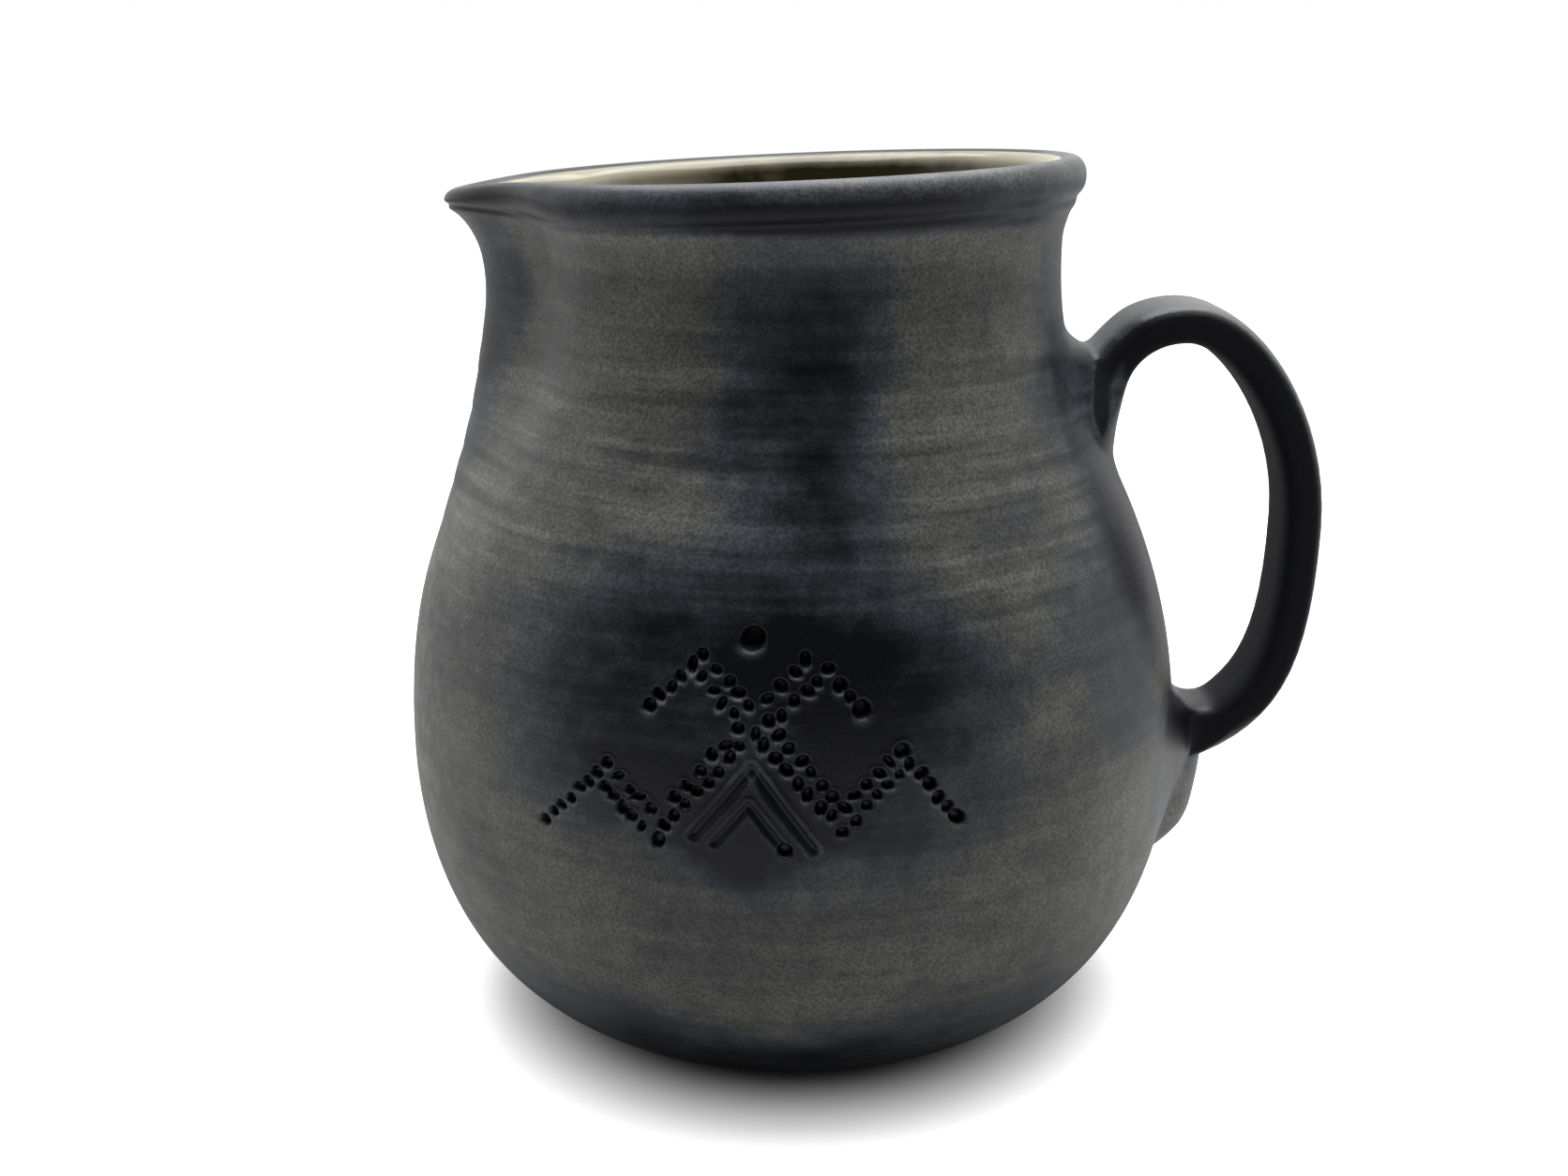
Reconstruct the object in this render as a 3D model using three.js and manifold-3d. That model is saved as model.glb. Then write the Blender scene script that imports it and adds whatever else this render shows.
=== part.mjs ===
import * as THREE from 'three';
import { mergeVertices } from 'three/addons/utils/BufferGeometryUtils.js';
import Module from 'manifold-3d';

// Smoke-fired earthenware jug: a thrown body with a pulled spout, a pulled strap handle, slip beds under
// its two roots, and a glaze lining. Millimetres, +Z up, origin at the centre of the base.
// The spout points along -X and the handle along +X.

// Thrown body, outside
const BASE_RADIUS = 37;
const BELLY_RADIUS = 65.2;
const BELLY_HEIGHT = 47.5;
const NECK_RADIUS = 43.3;
const NECK_HEIGHT = 127;
const RIM_HEIGHT = 141;
const RIM_TILT = 1.8;

// Rim bead
const BEAD_HEIGHT = 8.4;
const BEAD_RADIUS = 46.6;
const BEAD_STEP = 1.2;
const LINE_RISE = 2.3;
const LINE_DEPTH = 0.4;
const CREST_RADIUS = 44.2;
const BULGE_DEPTH = 2.8;
const MOUTH_RADIUS = 40.8;
const MOUTH_DEPTH = 3;

// Thrown body, inside
const WALL = 5;
const NECK_WALL = 4.4;
const FLOOR = 8;
const INNER_FLOOR_RADIUS = 30;

// Fullness of the thrown curve, as shares of the span that each end tangent covers
const FOOT_SPREAD = 0.9;
const FOOT_RISE = 0.16;
const BELLY_FULLNESS = 0.25;
const SHOULDER_FULLNESS = 0.61;
const NECK_FULLNESS = 0.41;
const FLARE_RISE = 0.4;

// Pulled spout, with angles in degrees round the pot
const THROAT_DEPTH = 7;
const THROAT_FOOT = 80;
const THROAT_HEAD = 116;
const THROAT_SPREAD = 11;
const LIP_REACH = 4;
const LIP_DROOP = 1.6;
const LIP_FOOT = 121;
const LIP_CURL = 3;
const LIP_KEPT = 0.48;
const LIP_SPREAD = 9.5;
const BEAD_LIFT = 4;
const LIFT_SPREAD = 16;
const PINCH_DEPTH = 1.9;
const PINCH_ANGLE = 25;
const PINCH_SPREAD = 9;

// Shoulder pressed a little flat where the handle was joined
const FLAT_DEPTH = 1.7;
const FLAT_HEIGHT = 86;
const FLAT_SPAN = 18;
const FLAT_SPREAD = 40;
const HANDLE_ANGLE = 180;

// Strap handle
const STRAP_TOP = 119.6;
const STRAP_REACH = 88.3;
const ARCH_REACH = 63;
const GRIP_HEIGHT = 82;
const STRAP_WIDTH = 15.5;
const STRAP_THICKNESS = 6.5;
const ARCH_WIDTH = 18;
const ARCH_THICKNESS = 6.8;
const UPPER_ROOT_HEIGHT = 97;
const UPPER_ROOT_WIDTH = 27;
const UPPER_ROOT_THICKNESS = 10;
const LOWER_ROOT_HEIGHT = 41.5;
const LOWER_ROOT_WIDTH = 14;
const LOWER_ROOT_THICKNESS = 9;
const UPPER_SINK = 5;
const LOWER_SINK = 4;
const ROOT_FLARE = 3;

// Fullness of the strap's curve, as shares of the span that each end tangent covers
const ROOT_LEAN = 0.17;
const ROOT_RISE = 0.47;
const ARCH_ENTRY = 0.52;
const ARCH_EXIT = 0.42;
const GRIP_ENTRY = 0.54;
const GRIP_EXIT = 0.72;
const RETURN_RUN = 0.73;
const RETURN_RISE = 0.13;

// Pressed tail below the lower root: it swells from its head to a shoulder and thins out below its step
const TAIL_HEAD = 48;
const TAIL_HEAD_THICKNESS = 1.5;
const TAIL_SHOULDER = 36;
const TAIL_STEP = 28;
const TAIL_WIDTH = 24;
const TAIL_THICKNESS = 5.8;
const TAIL_END = 19;
const TAIL_END_WIDTH = 8;

// Tongue pressed onto the shoulder under the arch, wider and thinner towards its step
const TONGUE_HEAD = 110;
const TONGUE_HEAD_THICKNESS = 1.5;
const TONGUE_SHOULDER = 103;
const TONGUE_SHOULDER_WIDTH = 25;
const TONGUE_SHOULDER_THICKNESS = 5.6;
const TONGUE_STEP = 94;
const TONGUE_STEP_WIDTH = 36;
const TONGUE_STEP_THICKNESS = 2.7;
const TONGUE_END = 87;
const TONGUE_END_WIDTH = 22;

// How deep the pressed ends reach behind the face of the wall before they are cut to it
const PRESSED_SINK = 3.4;

// Slip beds and glaze
const SLIP_THICKNESS = 1;
const SLIP_MARGIN = 1.2;
const GLAZE_THICKNESS = 0.6;
const CLEARANCE = 0.3;

// Facets
const TURN_STEPS = 60;
const SPOUT_CROWDING = 0.35;
const OUTSIDE_STEPS = [8, 14];
const INSIDE_STEPS = [6, 8];
const BEAD_STEPS = 3;
const SECTION_SIDES = 16;
const SECTION_SQUARENESS = 2.4;
const STRAP_STEPS = 8;
const PRESSED_STEPS = 13;

const CLAY = { color: 0x3a3b3a, roughness: 0.62, metalness: 0 };
const DARK_CLAY = { color: 0x232428, roughness: 0.58, metalness: 0 };
const SLIP = { color: 0x333433, roughness: 0.7, metalness: 0 };
const GLAZE = { color: 0x6b6248, roughness: 0.22, metalness: 0 };

const wasm = await Module();
wasm.setup();
const { clamp, lerp, smoothstep, degToRad, euclideanModulo } = THREE.MathUtils;
const sideways = new THREE.Vector3(0, 1, 0);
const BEAD_FOOT = RIM_HEIGHT - BEAD_HEIGHT;

function point(radius, height) {
  return new THREE.Vector2(radius, height);
}

function spacePoint(x, z) {
  return new THREE.Vector3(x, 0, z);
}

function bezier(start, leave, arrive, end, steps) {
  return new THREE.CubicBezierCurve(start, leave, arrive, end).getPoints(steps);
}

// Thrown curve from the foot to the neck, drawn as two tangent arcs that meet at the belly.
function thrownCurve(foot, belly, neck, [lowerSteps, upperSteps]) {
  const rise = belly.y - foot.y;
  const climb = neck.y - belly.y;
  const spread = point(lerp(foot.x, belly.x, FOOT_SPREAD), foot.y + rise * FOOT_RISE);
  const lower = bezier(foot, spread, point(belly.x, belly.y - rise * BELLY_FULLNESS), belly, lowerSteps);
  const shoulder = point(belly.x, belly.y + climb * SHOULDER_FULLNESS);
  const upper = bezier(belly, shoulder, point(neck.x, neck.y - climb * NECK_FULLNESS), neck, upperSteps);
  return [...lower, ...upper.slice(1)];
}

// Outside of the wall, from the centre of the base up to the neck.
function outsideWall() {
  const foot = point(BASE_RADIUS, 0);
  const belly = point(BELLY_RADIUS, BELLY_HEIGHT);
  return [point(0, 0), ...thrownCurve(foot, belly, point(NECK_RADIUS, NECK_HEIGHT), OUTSIDE_STEPS)];
}

// Rim bead, from the flare under its groove, past a scored line, over the crest and down to the mouth.
function rimBead() {
  const shelf = point(BEAD_RADIUS - BEAD_STEP, BEAD_FOOT + BEAD_STEP);
  const groove = point((NECK_RADIUS + shelf.x) / 2, BEAD_FOOT);
  const rising = point(NECK_RADIUS, lerp(NECK_HEIGHT, BEAD_FOOT, FLARE_RISE));
  const flare = bezier(point(NECK_RADIUS, NECK_HEIGHT), rising, rising, groove, BEAD_STEPS);
  const bulge = point(BEAD_RADIUS, RIM_HEIGHT - BULGE_DEPTH);
  const crest = point(CREST_RADIUS, RIM_HEIGHT);
  const mouth = point(MOUTH_RADIUS, RIM_HEIGHT - MOUTH_DEPTH);
  const line = point(shelf.x - LINE_DEPTH, BEAD_FOOT + LINE_RISE);
  const faceFoot = point((shelf.x + BEAD_RADIUS) / 2, line.y + BEAD_STEP / 2);
  const faceLeave = point(BEAD_RADIUS, faceFoot.y + BEAD_STEP / 2);
  const face = bezier(faceFoot, faceLeave, point(BEAD_RADIUS, bulge.y - BEAD_STEP / 2), bulge, BEAD_STEPS);
  const rollLeave = point(BEAD_RADIUS, RIM_HEIGHT - BEAD_STEP);
  const roll = bezier(bulge, rollLeave, point(BEAD_RADIUS - BEAD_STEP, RIM_HEIGHT), crest, BEAD_STEPS);
  const lipLeave = point(CREST_RADIUS - BEAD_STEP, RIM_HEIGHT);
  const lip = bezier(crest, lipLeave, point(MOUTH_RADIUS, RIM_HEIGHT - BEAD_STEP), mouth, BEAD_STEPS);
  return [...flare.slice(1), shelf, line, ...face, ...roll.slice(1), ...lip.slice(1)];
}

// Inside of the wall, from the neck down to the centre of the floor.
function insideWall() {
  const foot = point(INNER_FLOOR_RADIUS, FLOOR);
  const belly = point(BELLY_RADIUS - WALL, BELLY_HEIGHT);
  const neck = point(NECK_RADIUS - NECK_WALL, NECK_HEIGHT);
  return [...thrownCurve(foot, belly, neck, INSIDE_STEPS).reverse(), point(0, FLOOR)];
}

// A profile moved square to itself, to the right of its run.
function offsetProfile(profile, distance) {
  return profile.map((here, i) => {
    const before = profile[Math.max(i - 1, 0)];
    const after = profile[Math.min(i + 1, profile.length - 1)];
    const onAxis = here.x === 0;
    const run = onAxis ? point(after.x - before.x, 0) : after.clone().sub(before);
    run.normalize();
    return point(here.x + run.y * distance, here.y - run.x * distance);
  });
}

// A bell-shaped share, 1 at the centre angle.
function lobe(angle, centreDegrees, spreadDegrees) {
  const away = euclideanModulo(angle - degToRad(centreDegrees) + Math.PI, 2 * Math.PI) - Math.PI;
  return Math.exp(-0.5 * (away / degToRad(spreadDegrees)) ** 2);
}

// How much of the lip's reach a height takes: rising to the foot of the bead and easing off to the crest.
function lipShare(height, upBead) {
  const curl = clamp((height - LIP_FOOT) / (BEAD_FOOT - LIP_FOOT), 0, 1) ** LIP_CURL;
  return curl * lerp(1, LIP_KEPT, upBead);
}

// Where a point of the thrown pot ends up once the spout is pulled along -X, with a beak that droops and
// narrows the bead, pinched flanks, and a shoulder that is pressed flat under the handle.
function place(radius, height, angle) {
  const upBead = Math.max(0, (height - BEAD_FOOT) / BEAD_HEIGHT);
  const pulled = smoothstep(height, THROAT_FOOT, THROAT_HEAD);
  const throat = pulled * THROAT_DEPTH * lobe(angle, 0, THROAT_SPREAD);
  const beak = lobe(angle, 0, LIP_SPREAD);
  const lip = LIP_REACH * beak * lipShare(height, upBead);
  const flanks = lobe(angle, PINCH_ANGLE, PINCH_SPREAD) + lobe(angle, -PINCH_ANGLE, PINCH_SPREAD);
  const pinch = pulled * (1 - upBead) * PINCH_DEPTH * flanks;
  const level = Math.exp(-0.5 * ((height - FLAT_HEIGHT) / FLAT_SPAN) ** 2);
  const flat = level * FLAT_DEPTH * lobe(angle, HANDLE_ANGLE, FLAT_SPREAD);
  const share = Math.min(1, radius / MOUTH_RADIUS);
  const reach = radius + share * (throat + lip - pinch - flat);
  const tilt = RIM_TILT * smoothstep(height, BELLY_HEIGHT, RIM_HEIGHT) * Math.cos(angle);
  const droop = LIP_DROOP * beak * smoothstep(height, LIP_FOOT, RIM_HEIGHT);
  const outer = smoothstep(radius, MOUTH_RADIUS, CREST_RADIUS);
  const narrowed = smoothstep(height, LIP_FOOT, BEAD_FOOT) * (1 - upBead) * lobe(angle, 0, LIFT_SPREAD);
  const rise = outer * BEAD_LIFT * narrowed - share * (tilt + droop);
  return new THREE.Vector3(-reach * Math.cos(angle), -reach * Math.sin(angle), height + rise);
}

function indexed(points, triangles) {
  const geometry = new THREE.BufferGeometry().setFromPoints(points);
  geometry.setIndex(triangles);
  geometry.computeVertexNormals();
  return geometry;
}

// Side faces of a stack of rings, as pairs of triangles that face out.
function skin(rings, sides, at) {
  const triangles = [];
  for (let i = 0; i + 1 < rings; i += 1) {
    for (let k = 0; k < sides; k += 1) {
      triangles.push(at(i, k), at(i, k + 1), at(i + 1, k));
      triangles.push(at(i, k + 1), at(i + 1, k + 1), at(i + 1, k));
    }
  }
  return triangles;
}

// Fans that close the first and the last ring onto one point each.
function caps(rings, sides, at, first, last) {
  const triangles = [];
  for (let k = 0; k < sides; k += 1) {
    triangles.push(first, at(0, k + 1), at(0, k));
    triangles.push(last, at(rings - 1, k), at(rings - 1, k + 1));
  }
  return triangles;
}

// A closed solid through rings of points, with a point in the middle of each end.
function ringSolid(rings, startPoint, endPoint) {
  const sides = rings[0].length;
  const points = [...rings.flat(), startPoint, endPoint];
  const at = (i, k) => i * sides + (k % sides);
  const side = skin(rings.length, sides, at);
  return indexed(points, [...side, ...caps(rings.length, sides, at, points.length - 2, points.length - 1)]);
}

// A turned solid whose profile starts and ends on the axis, with the spout pulled out of it.
function turned(profile) {
  const angles = Array.from({ length: TURN_STEPS }, (_, j) => {
    const turn = (2 * Math.PI * j) / TURN_STEPS;
    return turn - SPOUT_CROWDING * Math.sin(turn);
  });
  const rings = profile.slice(1, -1).map(({ x, y }) => angles.map((angle) => place(x, y, angle)));
  return ringSolid(rings, place(0, profile[0].y, 0), place(0, profile[profile.length - 1].y, 0));
}

// A solid through oval sections. Each has a centre, a run direction, a width along Y and a thickness, and
// can be bent round a radius.
function loft(stations) {
  const power = 2 / SECTION_SQUARENESS;
  const squared = (value) => Math.sign(value) * Math.abs(value) ** power;
  const rings = stations.map(({ centre, run, width, thickness, bend }) => {
    const outward = new THREE.Vector3().crossVectors(run, sideways);
    return Array.from({ length: SECTION_SIDES }, (_, k) => {
      const turn = (2 * Math.PI * k) / SECTION_SIDES;
      const aside = (width / 2) * squared(Math.cos(turn));
      const bent = bend ? Math.sqrt(bend ** 2 - aside ** 2) - bend : 0;
      const out = (thickness / 2) * squared(Math.sin(turn)) + bent;
      return centre.clone().addScaledVector(sideways, aside).addScaledVector(outward, out);
    });
  });
  return ringSolid(rings, stations[0].centre, stations[stations.length - 1].centre);
}

function solid(geometry) {
  const bare = geometry.clone();
  bare.deleteAttribute('normal');
  const merged = mergeVertices(bare);
  const vertProperties = new Float32Array(merged.attributes.position.array);
  const triVerts = new Uint32Array(merged.index.array);
  return new wasm.Manifold(new wasm.Mesh({ numProp: 3, vertProperties, triVerts }));
}

function surface(manifold) {
  const mesh = manifold.getMesh();
  const geometry = new THREE.BufferGeometry();
  geometry.setAttribute('position', new THREE.BufferAttribute(mesh.vertProperties, 3));
  geometry.setIndex(new THREE.BufferAttribute(mesh.triVerts, 1));
  geometry.computeVertexNormals();
  return geometry;
}

// How far out the wall stands on the handle's side, at a height.
function wallReach(height) {
  const wall = outsideWall().slice(1).map(({ x, y }) => place(x, y, degToRad(HANDLE_ANGLE)));
  const above = wall.findIndex((p) => p.z >= height);
  const low = wall[above - 1];
  const high = wall[above];
  return lerp(low.x, high.x, (height - low.z) / (high.z - low.z));
}

// The pot without its hollow, grown all over by a distance, to seat what bonds to the wall.
function wallCutter(distance) {
  const outside = offsetProfile(outsideWall(), distance);
  return solid(turned([...outside, point(0, outside[outside.length - 1].y)]));
}

// How the section changes along a stretch: flared close to a root, or evenly.
const leavingRoot = (share) => 1 - (1 - share) ** ROOT_FLARE;
const reachingRoot = (share) => share ** ROOT_FLARE;
const even = (share) => smoothstep(share, 0, 1);

function sectionsAlong(curve, from, to, change, grow) {
  return Array.from({ length: STRAP_STEPS + 1 }, (_, i) => {
    const share = i / STRAP_STEPS;
    const blend = change(share);
    return {
      centre: curve.getPoint(share),
      run: curve.getTangent(share),
      width: lerp(from.width, to.width, blend) + grow,
      thickness: lerp(from.thickness, to.thickness, blend) + grow,
    };
  });
}

const upperRoot = { width: UPPER_ROOT_WIDTH, thickness: UPPER_ROOT_THICKNESS };
const arch = { width: ARCH_WIDTH, thickness: ARCH_THICKNESS };
const grip = { width: STRAP_WIDTH, thickness: STRAP_THICKNESS };
const lowerRoot = { width: LOWER_ROOT_WIDTH, thickness: LOWER_ROOT_THICKNESS };

// Strap centre line: out of the shoulder, over the arch, down the grip and back to the belly.
const upperStart = spacePoint(wallReach(UPPER_ROOT_HEIGHT) - UPPER_SINK, UPPER_ROOT_HEIGHT);
const archTop = spacePoint(ARCH_REACH, STRAP_TOP - ARCH_THICKNESS / 2);
const gripOut = spacePoint(STRAP_REACH - STRAP_THICKNESS / 2, GRIP_HEIGHT);
const lowerEnd = spacePoint(wallReach(LOWER_ROOT_HEIGHT) - LOWER_SINK, LOWER_ROOT_HEIGHT);

const upperCurve = new THREE.CubicBezierCurve3(
  upperStart,
  spacePoint(lerp(upperStart.x, archTop.x, ROOT_LEAN), lerp(upperStart.z, archTop.z, ROOT_RISE)),
  spacePoint(lerp(archTop.x, upperStart.x, ARCH_ENTRY), archTop.z),
  archTop,
);
const archCurve = new THREE.CubicBezierCurve3(
  archTop,
  spacePoint(lerp(archTop.x, gripOut.x, ARCH_EXIT), archTop.z),
  spacePoint(gripOut.x, lerp(gripOut.z, archTop.z, GRIP_ENTRY)),
  gripOut,
);
const gripCurve = new THREE.CubicBezierCurve3(
  gripOut,
  spacePoint(gripOut.x, lerp(gripOut.z, lowerEnd.z, GRIP_EXIT)),
  spacePoint(lerp(lowerEnd.x, gripOut.x, RETURN_RUN), lerp(lowerEnd.z, gripOut.z, RETURN_RISE)),
  lowerEnd,
);

function strap() {
  const upper = sectionsAlong(upperCurve, upperRoot, arch, leavingRoot, 0);
  const over = sectionsAlong(archCurve, arch, grip, even, 0);
  const down = sectionsAlong(gripCurve, grip, lowerRoot, reachingRoot, 0);
  return solid(loft([...upper, ...over.slice(1), ...down.slice(1)]));
}

// An end of the strap pressed onto the wall, as sections that bend round it and are sunk a little behind it.
function pressedEnd({ head, shoulder, step, end }, grow) {
  const stations = Array.from({ length: PRESSED_STEPS + 1 }, (_, i) => {
    const height = lerp(head.at + grow, end.at - grow, i / PRESSED_STEPS);
    const along = clamp((shoulder.at - height) / (shoulder.at - step.at), 0, 1);
    const swollen = 1 - smoothstep(height, shoulder.at, head.at);
    const full = smoothstep(height, end.at, step.at);
    const width = lerp(head.width, lerp(shoulder.width, step.width, along), swollen);
    const proud = full * lerp(head.thickness, lerp(shoulder.thickness, step.thickness, along), swollen);
    const thickness = proud + PRESSED_SINK;
    return {
      centre: spacePoint(wallReach(height) + proud - thickness / 2, height),
      run: new THREE.Vector3(0, 0, -1),
      width: lerp(end.width, width, full) + grow,
      thickness: thickness + grow,
      bend: wallReach(height),
    };
  });
  return solid(loft(stations));
}

const tail = {
  head: { at: TAIL_HEAD, width: LOWER_ROOT_WIDTH, thickness: TAIL_HEAD_THICKNESS },
  shoulder: { at: TAIL_SHOULDER, width: TAIL_WIDTH, thickness: TAIL_THICKNESS },
  step: { at: TAIL_STEP, width: TAIL_WIDTH, thickness: TAIL_THICKNESS },
  end: { at: TAIL_END, width: TAIL_END_WIDTH },
};
const tongue = {
  head: { at: TONGUE_HEAD, width: ARCH_WIDTH, thickness: TONGUE_HEAD_THICKNESS },
  shoulder: { at: TONGUE_SHOULDER, width: TONGUE_SHOULDER_WIDTH, thickness: TONGUE_SHOULDER_THICKNESS },
  step: { at: TONGUE_STEP, width: TONGUE_STEP_WIDTH, thickness: TONGUE_STEP_THICKNESS },
  end: { at: TONGUE_END, width: TONGUE_END_WIDTH },
};

const slipBase = wallCutter(CLEARANCE);
const slipTop = wallCutter(CLEARANCE + SLIP_THICKNESS);
const handleSeat = wallCutter(2 * CLEARANCE + SLIP_THICKNESS);

// Slip squeezed between the wall and a root, a little wider than the root.
function slipBed(root) {
  return surface(root.intersect(slipTop).subtract(slipBase));
}

const upperFoot = solid(loft(sectionsAlong(upperCurve, upperRoot, arch, leavingRoot, 2 * SLIP_MARGIN)));
const lowerFoot = solid(loft(sectionsAlong(gripCurve, grip, lowerRoot, reachingRoot, 2 * SLIP_MARGIN)));

const clayOfHandle = strap().add(pressedEnd(tongue, 0)).add(pressedEnd(tail, 0));

const bead = rimBead();
const inside = insideWall();
const glazed = [bead[bead.length - 1], ...inside];
const glazeBack = offsetProfile(glazed, CLEARANCE).reverse();
const glazeFace = offsetProfile(glazed, CLEARANCE + GLAZE_THICKNESS);

function named(name, geometry, finish) {
  const mesh = new THREE.Mesh(geometry, new THREE.MeshStandardMaterial(finish));
  mesh.name = name;
  return mesh;
}

const group = new THREE.Group();
group.add(
  named('thrown_body', turned([...outsideWall(), ...bead, ...inside]), CLAY),
  named('handle', surface(clayOfHandle.subtract(handleSeat)), DARK_CLAY),
  named('upper_luting', slipBed(upperFoot.add(pressedEnd(tongue, 2 * SLIP_MARGIN))), SLIP),
  named('lower_luting', slipBed(lowerFoot.add(pressedEnd(tail, 2 * SLIP_MARGIN))), SLIP),
  named('glaze_lining', turned([...glazeBack, ...glazeFace]), GLAZE),
);

export default group;
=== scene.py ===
"""Smoke-fired earthenware jug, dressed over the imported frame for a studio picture.

The jug stands on its flat base at the origin, +Z up, in metres. Its spout points along -X and its handle
along +X, and the camera looks along +Y.
"""

import logging
import math
from dataclasses import dataclass, field
from enum import Enum

import bpy
import numpy as np
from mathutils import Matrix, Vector


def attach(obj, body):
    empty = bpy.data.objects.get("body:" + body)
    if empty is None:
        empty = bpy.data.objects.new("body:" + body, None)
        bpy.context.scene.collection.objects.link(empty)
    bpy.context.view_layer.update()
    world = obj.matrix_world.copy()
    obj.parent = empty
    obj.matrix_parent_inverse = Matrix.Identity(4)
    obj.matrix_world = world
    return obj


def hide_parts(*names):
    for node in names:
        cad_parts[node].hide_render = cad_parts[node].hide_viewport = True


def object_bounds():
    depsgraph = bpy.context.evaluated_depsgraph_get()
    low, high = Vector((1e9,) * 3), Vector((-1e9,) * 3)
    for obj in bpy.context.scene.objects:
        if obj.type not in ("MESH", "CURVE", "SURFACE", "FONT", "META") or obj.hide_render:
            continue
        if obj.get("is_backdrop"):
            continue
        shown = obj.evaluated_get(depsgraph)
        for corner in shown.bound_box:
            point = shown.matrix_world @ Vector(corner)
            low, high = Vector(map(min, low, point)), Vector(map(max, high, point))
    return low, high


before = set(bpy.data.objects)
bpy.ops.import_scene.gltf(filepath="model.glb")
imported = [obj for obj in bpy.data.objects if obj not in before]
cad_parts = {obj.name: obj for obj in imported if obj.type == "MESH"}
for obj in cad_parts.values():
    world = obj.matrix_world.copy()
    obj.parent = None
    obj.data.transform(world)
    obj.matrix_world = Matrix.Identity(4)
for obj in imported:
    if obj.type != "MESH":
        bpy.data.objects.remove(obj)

LOG = logging.getLogger("jug")
MM = 0.001
WELD = MM / 1000
TURN = 2 * math.pi

Pair = tuple[float, float]
Triple = tuple[float, float, float]
Colour = tuple[float, float, float, float]
Series = tuple[float, ...]
# Two limits of an eased change, then the values there where they aren't 0 and 1
Fade = tuple[float, ...]


class Slot(Enum):
    """Material slots of the record."""

    CLAY = "smoked_clay"
    STRAP = "smoked_strap"
    GLAZE = "inner_glaze"


def smoothstep(value: np.ndarray, low: float, high: float) -> np.ndarray:
    """Ease from 0 to 1 between two values."""
    share = np.clip((value - low) / (high - low), 0, 1)
    return share * share * (3 - 2 * share)


def bell(value: np.ndarray, centre: float, spread: float) -> np.ndarray:
    """Find bell-shaped shares."""
    return np.exp(-0.5 * ((value - centre) / spread) ** 2)


def lobe(angle: np.ndarray, centre: float, spread: float) -> np.ndarray:
    """Bell-shaped share round the pot."""
    away = (angle - math.radians(centre) + math.pi) % TURN - math.pi
    return bell(away, 0, math.radians(spread))


def between(first: Pair, last: Pair, across: float, up: float) -> Pair:
    """Find a point between two others."""
    return (first[0] + (last[0] - first[0]) * across, first[1] + (last[1] - first[1]) * up)


def bezier(corners: list[Pair], steps: int) -> np.ndarray:
    """Sample a cubic Bezier curve.

    Args:
        corners: The four control points.
        steps: Number of spans.

    Returns:
        Points along the curve, both ends included.
    """
    start, leave, arrive, end = (np.array(corner) for corner in corners)
    t = np.linspace(0, 1, steps + 1)[:, None]
    rest = 1 - t
    return rest**3 * start + 3 * rest**2 * t * leave + 3 * rest * t**2 * arrive + t**3 * end


def evenly(points: np.ndarray, spacing: float) -> np.ndarray:
    """Resample a polyline at an even spacing.

    Args:
        points: Corners of the polyline.
        spacing: Wanted distance between samples.

    Returns:
        Samples along the polyline, both ends included.
    """
    run = np.concatenate(([0.0], np.cumsum(np.linalg.norm(np.diff(points, axis=0), axis=1))))
    stops = np.linspace(0, run[-1], max(2, round(run[-1] / spacing) + 1))
    return np.stack([np.interp(stops, run, column) for column in points.T], axis=1)


def points_of(piece: bpy.types.Object) -> np.ndarray:
    """Read a mesh's vertex positions.

    Args:
        piece: Mesh object.

    Returns:
        One row per vertex.
    """
    flat = np.empty(len(piece.data.vertices) * 3)
    piece.data.vertices.foreach_get("co", flat)
    return flat.reshape(-1, 3)


def move_points(piece: bpy.types.Object, points: np.ndarray) -> None:
    """Write a mesh's vertex positions."""
    piece.data.vertices.foreach_set("co", points.ravel())
    piece.data.update()


def push_out(piece: bpy.types.Object, points: np.ndarray, distance: np.ndarray) -> None:
    """Move a mesh's points level, away from the axis.

    Args:
        piece: Mesh object.
        points: Where its points are, one row each.
        distance: How far each point goes, negative towards the axis.
    """
    outward = points * (1, 1, 0)
    outward /= np.maximum(np.linalg.norm(outward, axis=1), MM)[:, None]
    move_points(piece, points + outward * distance[:, None])


def write_values(piece: bpy.types.Object, name: str, values: np.ndarray) -> None:
    """Keep one value per point, for the materials to read."""
    piece.data.attributes.new(name, "FLOAT", "POINT").data.foreach_set("value", values)


def angle_of(points: np.ndarray) -> np.ndarray:
    """Find the angles of points round the pot, from the spout."""
    return np.arctan2(-points[:, 1], -points[:, 0])


def radius_of(points: np.ndarray) -> np.ndarray:
    """Measure the distances of points from the axis."""
    return np.hypot(points[:, 0], points[:, 1])


def activate(piece: bpy.types.Object) -> None:
    """Make one object the only selected and the active one.

    Args:
        piece: Object to work on.
    """
    bpy.ops.object.select_all(action="DESELECT")
    piece.select_set(True)
    bpy.context.view_layer.objects.active = piece


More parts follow.
